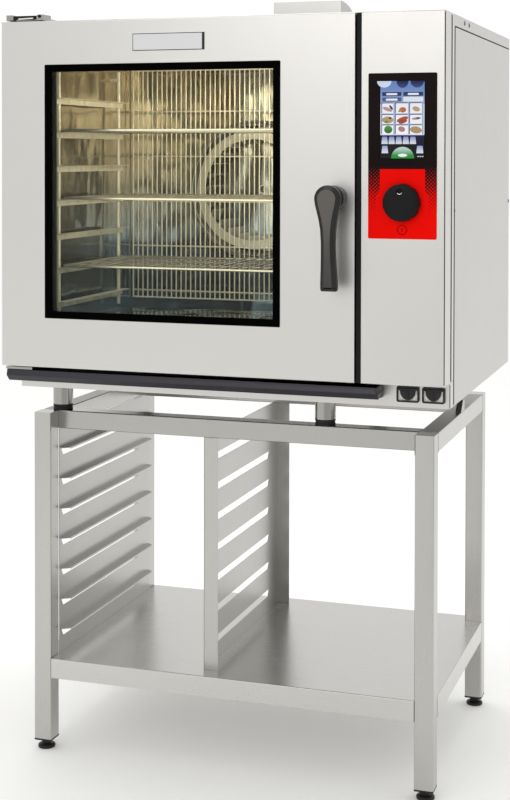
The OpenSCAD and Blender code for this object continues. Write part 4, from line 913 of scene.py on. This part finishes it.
port = {"back": 22, "liner": (1.5, 0.85), "hole": 9, "holeHeight": 14.5, "shield": 15.6, "hood": 4.6}
framesLow, framesHigh = span("port_frames")
plateY = framesHigh.y - port["back"]
liners = []
for side in ("left", "right"):
    flapLow, flapHigh = span("port_flap_" + side)
    middle = (flapLow + flapHigh) / 2
    top = flapHigh.z - port["hood"]
    freshStart()
    bpy.ops.mesh.primitive_cylinder_add(vertices=48, radius=1, depth=1, rotation=(math.pi / 2, 0, 0),
                                        location=at(middle.x, flapHigh.y - 2.6, top))
    shield = named("shield")
    shield.scale = (port["shield"] * mm, (top - flapLow.z) * mm, 1.8 * mm)
    settle(shield)
    barrel = softened("port_flap_" + side, "barrel", 0)
    for piece in (shield, barrel):
        editing(piece, "FACE")
        bpy.ops.mesh.select_all(action="SELECT")
        bpy.ops.mesh.bisect(plane_co=at(0, 0, top), plane_no=(0, 0, 1 if piece is shield else -1),
                            clear_outer=True, use_fill=True)
        bpy.ops.object.mode_set(mode="OBJECT")
    bevelled(shield, 0.5, 2, 40)
    ridge = slab("ridge", (middle.x - 1.5, flapHigh.y - 5.2, flapLow.z + 3),
                 (middle.x + 1.5, flapHigh.y - 3, top - 2), 0.6)
    done(ridge, "port_cover_" + side, "blackPlastic").name = "portGrip_" + side
    shield = joined("portShield_" + side, [barrel, shield])
    done(shield, "port_cover_" + side, "flapPlastic", ["port_flap_" + side])
    liner = slab("liner", (flapLow.x + 1.4, plateY - port["liner"][0], framesLow.z + 3.1),
                 (flapHigh.x - 1.4, plateY - port["liner"][1], framesHigh.z - 3.3), 0)
    holeZ = framesLow.z + port["holeHeight"]
    hole = rod("hole", (middle.x, framesLow.y, holeZ), (middle.x, framesHigh.y + 3, holeZ), port["hole"], 40)
    cut(liner, hole)
    liners.append(bevelled(liner, 0.15, 1))
done(softened("port_frames", "portBezels", 0.6), "base", "blackPlastic", ["port_frames"])
done(joined("portLiners", liners), "base", "creamPlastic")
print("column made")

plate = {"rim": 1.4, "rightRim": 5, "back": 0.7, "face": 0.25}
plateLow, plateHigh = span("nameplate")
badge = slab("plateBlank", (plateLow.x, plateLow.y + plate["back"], plateLow.z), plateHigh, 0.3)
done(badge, "door", "blackPlastic", ["nameplate"])
face = slab("plateFace", (plateLow.x + plate["rim"], plateLow.y + plate["face"], plateLow.z + plate["rim"]),
            (plateHigh.x - plate["rightRim"], plateLow.y + 0.9, plateHigh.z - plate["rim"]), 0.25)
done(face, "door", "plateSilver")

lever = {"front": -61.8, "back": -37, "chamfer": 8, "round": 26, "axis": (717.0, 1221.0), "sides": [
    # height over the axis, half width, shift to the right
    (-11, 24.4, 0), (-24, 21.2, 0.1), (-40, 17.6, 0.5), (-58, 15.0, 0.9), (-83, 13.8, 1.2), (-110, 14.1, 1.6),
    (-135, 15.2, 2.2), (-160, 16.3, 2.7), (-171, 16.3, 2.8), (-174, 15.2, 2.8), (-175, 13.2, 2.8)]}
axisX, axisZ = lever["axis"]
outline = [(-half + shift, height) for height, half, shift in reversed(lever["sides"])]
outline += [(-lever["round"] * math.cos(math.radians(a)), lever["round"] * math.sin(math.radians(a)))
            for a in range(0, 181, 9)]
outline += [(half + shift, height) for height, half, shift in lever["sides"]]
freshStart()
bend = bpy.data.curves.new("leverGrip", "CURVE")
bend.dimensions, bend.fill_mode, bend.bevel_resolution = "2D", "BOTH", 0
bend.bevel_depth, bend.offset = lever["chamfer"] * mm, -lever["chamfer"] * mm
bend.extrude = ((lever["back"] - lever["front"]) / 2 - lever["chamfer"]) * mm
path = bend.splines.new("POLY")
path.points.add(len(outline) - 1)
for point, (x, z) in zip(path.points, outline):
    point.co = (x * mm, z * mm, 0, 1)
path.use_cyclic_u = True
grip = bpy.data.objects.new("leverGrip", bend)
bpy.context.scene.collection.objects.link(grip)
grip.location = at(axisX, (lever["front"] + lever["back"]) / 2, axisZ)
grip.rotation_euler = (math.pi / 2, 0, 0)
pickOnly(grip)
bpy.ops.object.convert(target="MESH")
grip = settle(named("leverGrip"))
editing(grip, "VERT")
bpy.ops.mesh.select_all(action="SELECT")
bpy.ops.mesh.remove_doubles(threshold=0.00001)
bpy.ops.mesh.normals_make_consistent(inside=False)
bpy.ops.object.mode_set(mode="OBJECT")
bevelled(grip, 1.1, 3, 26)
bossRings = [(0, 24.6), (0.8, 25), (28, 25), (31, 23.4), (37.4, 20), (38, 19)]
boss = lathe("boss", bossRings, (axisX, -0.4, axisZ), "front", 64)
done(joined("leverGrip", [grip, boss]), "handle", "handlePlastic", ["handle_lever"], smooth=40)
print("door furniture made")

hingeHigh = span("hinge_brackets")[1]
done(softened("hinge_brackets", "hingeBrackets", 0.6, 2), "base", "footSteel", ["hinge_brackets"])
hinge = {"recess": (24, 77), "front": 7.5, "back": 8.4, "linkRadius": 1.7}
# painted shade: dark slabs on the hinge bracket stand for the shade in its recess, and the bolt shares that
# dark finish
recess = slab("recess", (hinge["recess"][0], hinge["front"], hingeHigh.z - 10.5),
              (hinge["recess"][1], hinge["back"], hingeHigh.z - 2.2), 0.3)
low = slab("recessLow", (16, hinge["front"], hingeHigh.z - 12.4),
           (30, hinge["back"], hingeHigh.z - 10.6), 0.3)
bolt = lathe("bolt", [(0, 3.6), (1.2, 3.4), (1.8, 2.4)], (84, 8.2, hingeHigh.z - 3.6), "front", 24)
done(joined("hingeShade", [recess, low, bolt]), "base", "seamDark")
link = rod("hingeLink", (36, 7.6, hingeHigh.z - 8.6), (70, 7.6, hingeHigh.z - 7.4),
           hinge["linkRadius"], 16, 0.5)
done(link, "base", "brightSteel")

inside = {"guardPitch": 12.3, "guardWire": 1.7, "crossPitch": 107, "crossWire": 1.9, "shelfWire": 1.7,
          "frameWire": 2.9, "frameCorner": 9, "rungs": 22, "rimWire": 2.6}
guardLow, guardHigh = span("fan_guard")
guardY = (guardLow.y + guardHigh.y) / 2
wire = rod("guardWire", (guardLow.x + 4, guardY - 1.2, guardLow.z + 2),
           (guardLow.x + 4, guardY - 1.2, guardHigh.z - 2), inside["guardWire"], 8)
count = int((guardHigh.x - guardLow.x - 8) / inside["guardPitch"]) + 1
repeated(wire, count, (inside["guardPitch"], 0, 0))
crossBar = rod("crossBar", (guardLow.x + 1, guardY + 1.9, guardLow.z + 20),
               (guardHigh.x - 1, guardY + 1.9, guardLow.z + 20), inside["crossWire"], 8)
count = int((guardHigh.z - guardLow.z - 30) / inside["crossPitch"]) + 1
repeated(crossBar, count, (0, 0, inside["crossPitch"]))
rimCorners = [(guardLow.x + 3, guardY, guardLow.z + 3), (guardHigh.x - 3, guardY, guardLow.z + 3),
              (guardHigh.x - 3, guardY, guardHigh.z - 3), (guardLow.x + 3, guardY, guardHigh.z - 3)]
rim = wireLoop("rim", rimCorners, inside["rimWire"], True, 3)
done(joined("fanGuardWires", [wire, crossBar, rim]), "base", "wireSteel", ["fan_guard"], smooth=50)

for node in ("shelf_top", "shelf_middle", "shelf_bottom"):
    low, high = span(node)
    z = high.z - inside["frameWire"]
    r = inside["frameWire"]
    c = inside["frameCorner"]
    corners = []
    for cx, cy, start in ((low.x + r + c, low.y + r + c, 180), (high.x - r - c, low.y + r + c, 270),
                          (high.x - r - c, high.y - r - c, 0), (low.x + r + c, high.y - r - c, 90)):
        angles = [math.radians(start + t) for t in (0, 30, 60, 90)]
        corners += [(cx + c * math.cos(t), cy + c * math.sin(t), z) for t in angles]
    edge = wireLoop("frame", corners, r, True, 3)
    reach = (high.x - low.x - 40) / (inside["rungs"] - 1)
    across = rod("rung", (low.x + 20, low.y + 2, z + 1.2), (low.x + 20, high.y - 2, z + 1.2),
                 inside["shelfWire"], 8)
    repeated(across, inside["rungs"], (reach, 0, 0))
    bars = [rod("bar", (low.x + 2, y, z - 1.8), (high.x - 2, y, z - 1.8), inside["shelfWire"], 8)
            for y in (low.y + (high.y - low.y) / 3, low.y + (high.y - low.y) * 2 / 3)]
    body = {"shelf_top": "upper_shelf", "shelf_middle": "centre_shelf", "shelf_bottom": "low_shelf"}[node]
    done(joined("wire_" + node, [edge, across, *bars]), body, "shelfWire", [node], smooth=50)

racks = {"sides": ((1, 76), (-1, 630)), "rows": (112.5, 425.5), "post": 4, "stay": 3.5, "stayInset": 20,
         "first": 992, "web": (4, 5.4, 13), "lip": (4, 22, 1.5), "levels": 7, "pitch": 72}
rackLow, rackHigh = span("tray_racks")
rackParts = []
for side, postX in racks["sides"]:
    wall = rackLow.x if side > 0 else rackHigh.x
    for y in racks["rows"]:
        rackParts.append(rod("post", (postX, y, rackLow.z + 0.4), (postX, y, rackHigh.z - 0.4),
                             racks["post"], 16, 0.8))
        for z in (rackLow.z + racks["stayInset"], rackHigh.z - racks["stayInset"]):
            rackParts.append(rod("stay", (wall, y, z), (postX, y, z), racks["stay"], 12))
    bars = []
    for (near0, near1, drop), gap, edge in ((racks["web"], 1, 0.3), (racks["lip"], 0.5, 0.4)):
        edges = sorted((postX + near0 * side, postX + near1 * side))
        bars.append(slab("rail", (edges[0], rackLow.y + gap, racks["first"] - drop),
                         (edges[1], rackHigh.y - gap, racks["first"]), edge))
    rackParts.append(repeated(joined("rail", bars), racks["levels"], (0, 0, racks["pitch"])))
done(joined("hangingRacks", rackParts), "base", "wireSteel", ["tray_racks"])

fanLow, fanHigh = span("fan_wheel")
fanMiddle = (fanLow + fanHigh) / 2
fan = {"blades": 24, "bladeFrom": 107, "bladeTo": 137, "bladeTurn": 35, "eye": 119,  # rings: depth, radius
       "back": [(0, 138), (0.6, 139), (1.6, 139.6), (2.2, 139)],
       "front": [(0, 139.4), (0.4, 139.8), (2.4, 139.8), (2.8, 139)],
       "dish": [(0, 98), (5, 92), (11, 70), (18, 44), (24, 28), (30, 16), (31, 14)]}
fanX, fanZ = fanMiddle.x, fanMiddle.z
backDisc = lathe("disc", fan["back"], (fanX, fanHigh.y - 2.4, fanZ), "front", 96)
frontRing = lathe("ringBand", fan["front"], (fanX, fanLow.y + 3, fanZ), "front", 96)
cut(frontRing, rod("eye", (fanX, fanLow.y - 10, fanZ), (fanX, fanHigh.y, fanZ), fan["eye"], 96))
fanCentre = at(fanX, fanMiddle.y, fanZ)
blade = slab("blade", (fanX + fan["bladeFrom"], fanLow.y + 1, fanZ - 0.7),
             (fanX + fan["bladeTo"], fanHigh.y - 2, fanZ + 0.7), 0)
turned(blade, fan["bladeTurn"], at(fanX + (fan["bladeFrom"] + fan["bladeTo"]) / 2, fanMiddle.y, fanZ))
blades = [blade] + [turned(copied(blade, (0, 0, 0)), 360 * i / fan["blades"], fanCentre)
                    for i in range(1, fan["blades"])]
hub = lathe("hub", fan["dish"], (fanX, fanHigh.y - 3, fanZ), "front", 40)
done(joined("fanWheel", [*blades, hub, frontRing, backDisc]), "fan", "fanSteel", ["fan_wheel"], smooth=30)

coil = {"turns": ((154, 600), (161, 590), (154, 580), (161, 570), (154, 560)), "tube": 3.6, "stub": 4,
        "stubSpread": 20, "stubDrop": 156, "stubFrom": 560}
coilHigh = span("heating_element")[1]
circle = [a * math.pi / 48 for a in range(96)]
coils = [wireLoop("coil", [(fanX + radius * math.cos(a), y, fanZ + radius * math.sin(a)) for a in circle],
                  coil["tube"], True, 3) for radius, y in coil["turns"]]
for side in (-1, 1):
    x, z = fanX + side * coil["stubSpread"], fanZ - coil["stubDrop"]
    coils.append(rod("stub", (x, coil["stubFrom"], z), (x, coilHigh.y, z), coil["stub"], 12))
done(joined("heatingCoils", coils), "base", "coilSteel", ["heating_element"], smooth=50)

done(softened("oven_lamp", "lampHousing", 0.5), "base", "lampGlass", ["oven_lamp"])
print("inside made")

for node, name in [("drain_pipe", "drainPipe"), ("vent_pipe", "ventPipe"),
                   ("drain_strainer", "drainStrainer"), ("water_inlet", "waterInlet"),
                   ("cable_gland", "cableGland"), ("latch_striker", "latchStriker"),
                   ("fan_motor", "fanMotor")]:
    done(softened(node, name, 0.4, 1), "base", nodeFinish[node], [node])
done(softened("latch_cam", "latchCam", 0.4), "handle", "brightSteel", ["latch_cam"])
louvreBank = {"columns": 3, "rows": 8, "step": (106, 19), "first": (560, 1330), "size": (90, 2.6, 9)}
backHigh = span("back_panel")[1]
louvres = []
louvre = slab("louvre", (0, 0, 0), louvreBank["size"], 0)
pushed(louvre, lambda p: p.y > 1 and p.z > 5, (0, -2.2, 0))
bevelled(louvre, 0.5, 2)
(x, z), (stepX, stepZ) = louvreBank["first"], louvreBank["step"]
for column in range(louvreBank["columns"]):
    for row in range(louvreBank["rows"]):
        louvres.append(copied(louvre, (x + column * stepX, backHigh.y - 0.3, z + row * stepZ)))
bpy.data.objects.remove(louvre)
done(joined("backLouvres", louvres), "base", "casingSteel")
print("back made")

freshStart()
bpy.ops.mesh.primitive_circle_add(vertices=64, radius=40, fill_type="NGON", location=(0, 0, 0))
floor = settle(named("paleFloor"))
floorMix = Recipe("paleFloor")
floorCloud = floorMix.noise(0.8, 2.0)
eastward, northward = floorMix.parts(floorMix.where)[:2]
paintedShadeCorner = eastward.ramp(-0.7, 0.8) * (1 - northward.ramp(-1.9, -0.6))  # painted shade: the floor's colour and glow darken before its right side
pale = floorMix.blend(floorCloud, (0.93, 0.93, 0.92), (0.95, 0.95, 0.94))
floor.data.materials.append(floorMix.finish(floorMix.glossy(
    BaseColor=floorMix.blend(paintedShadeCorner * 0.6, pale, (0.55, 0.55, 0.54)), Roughness=0.9,
    EmissionColor=floorMix.blend(paintedShadeCorner, (1.0, 1.0, 0.99), (0.2, 0.2, 0.2)), EmissionStrength=0.13)))
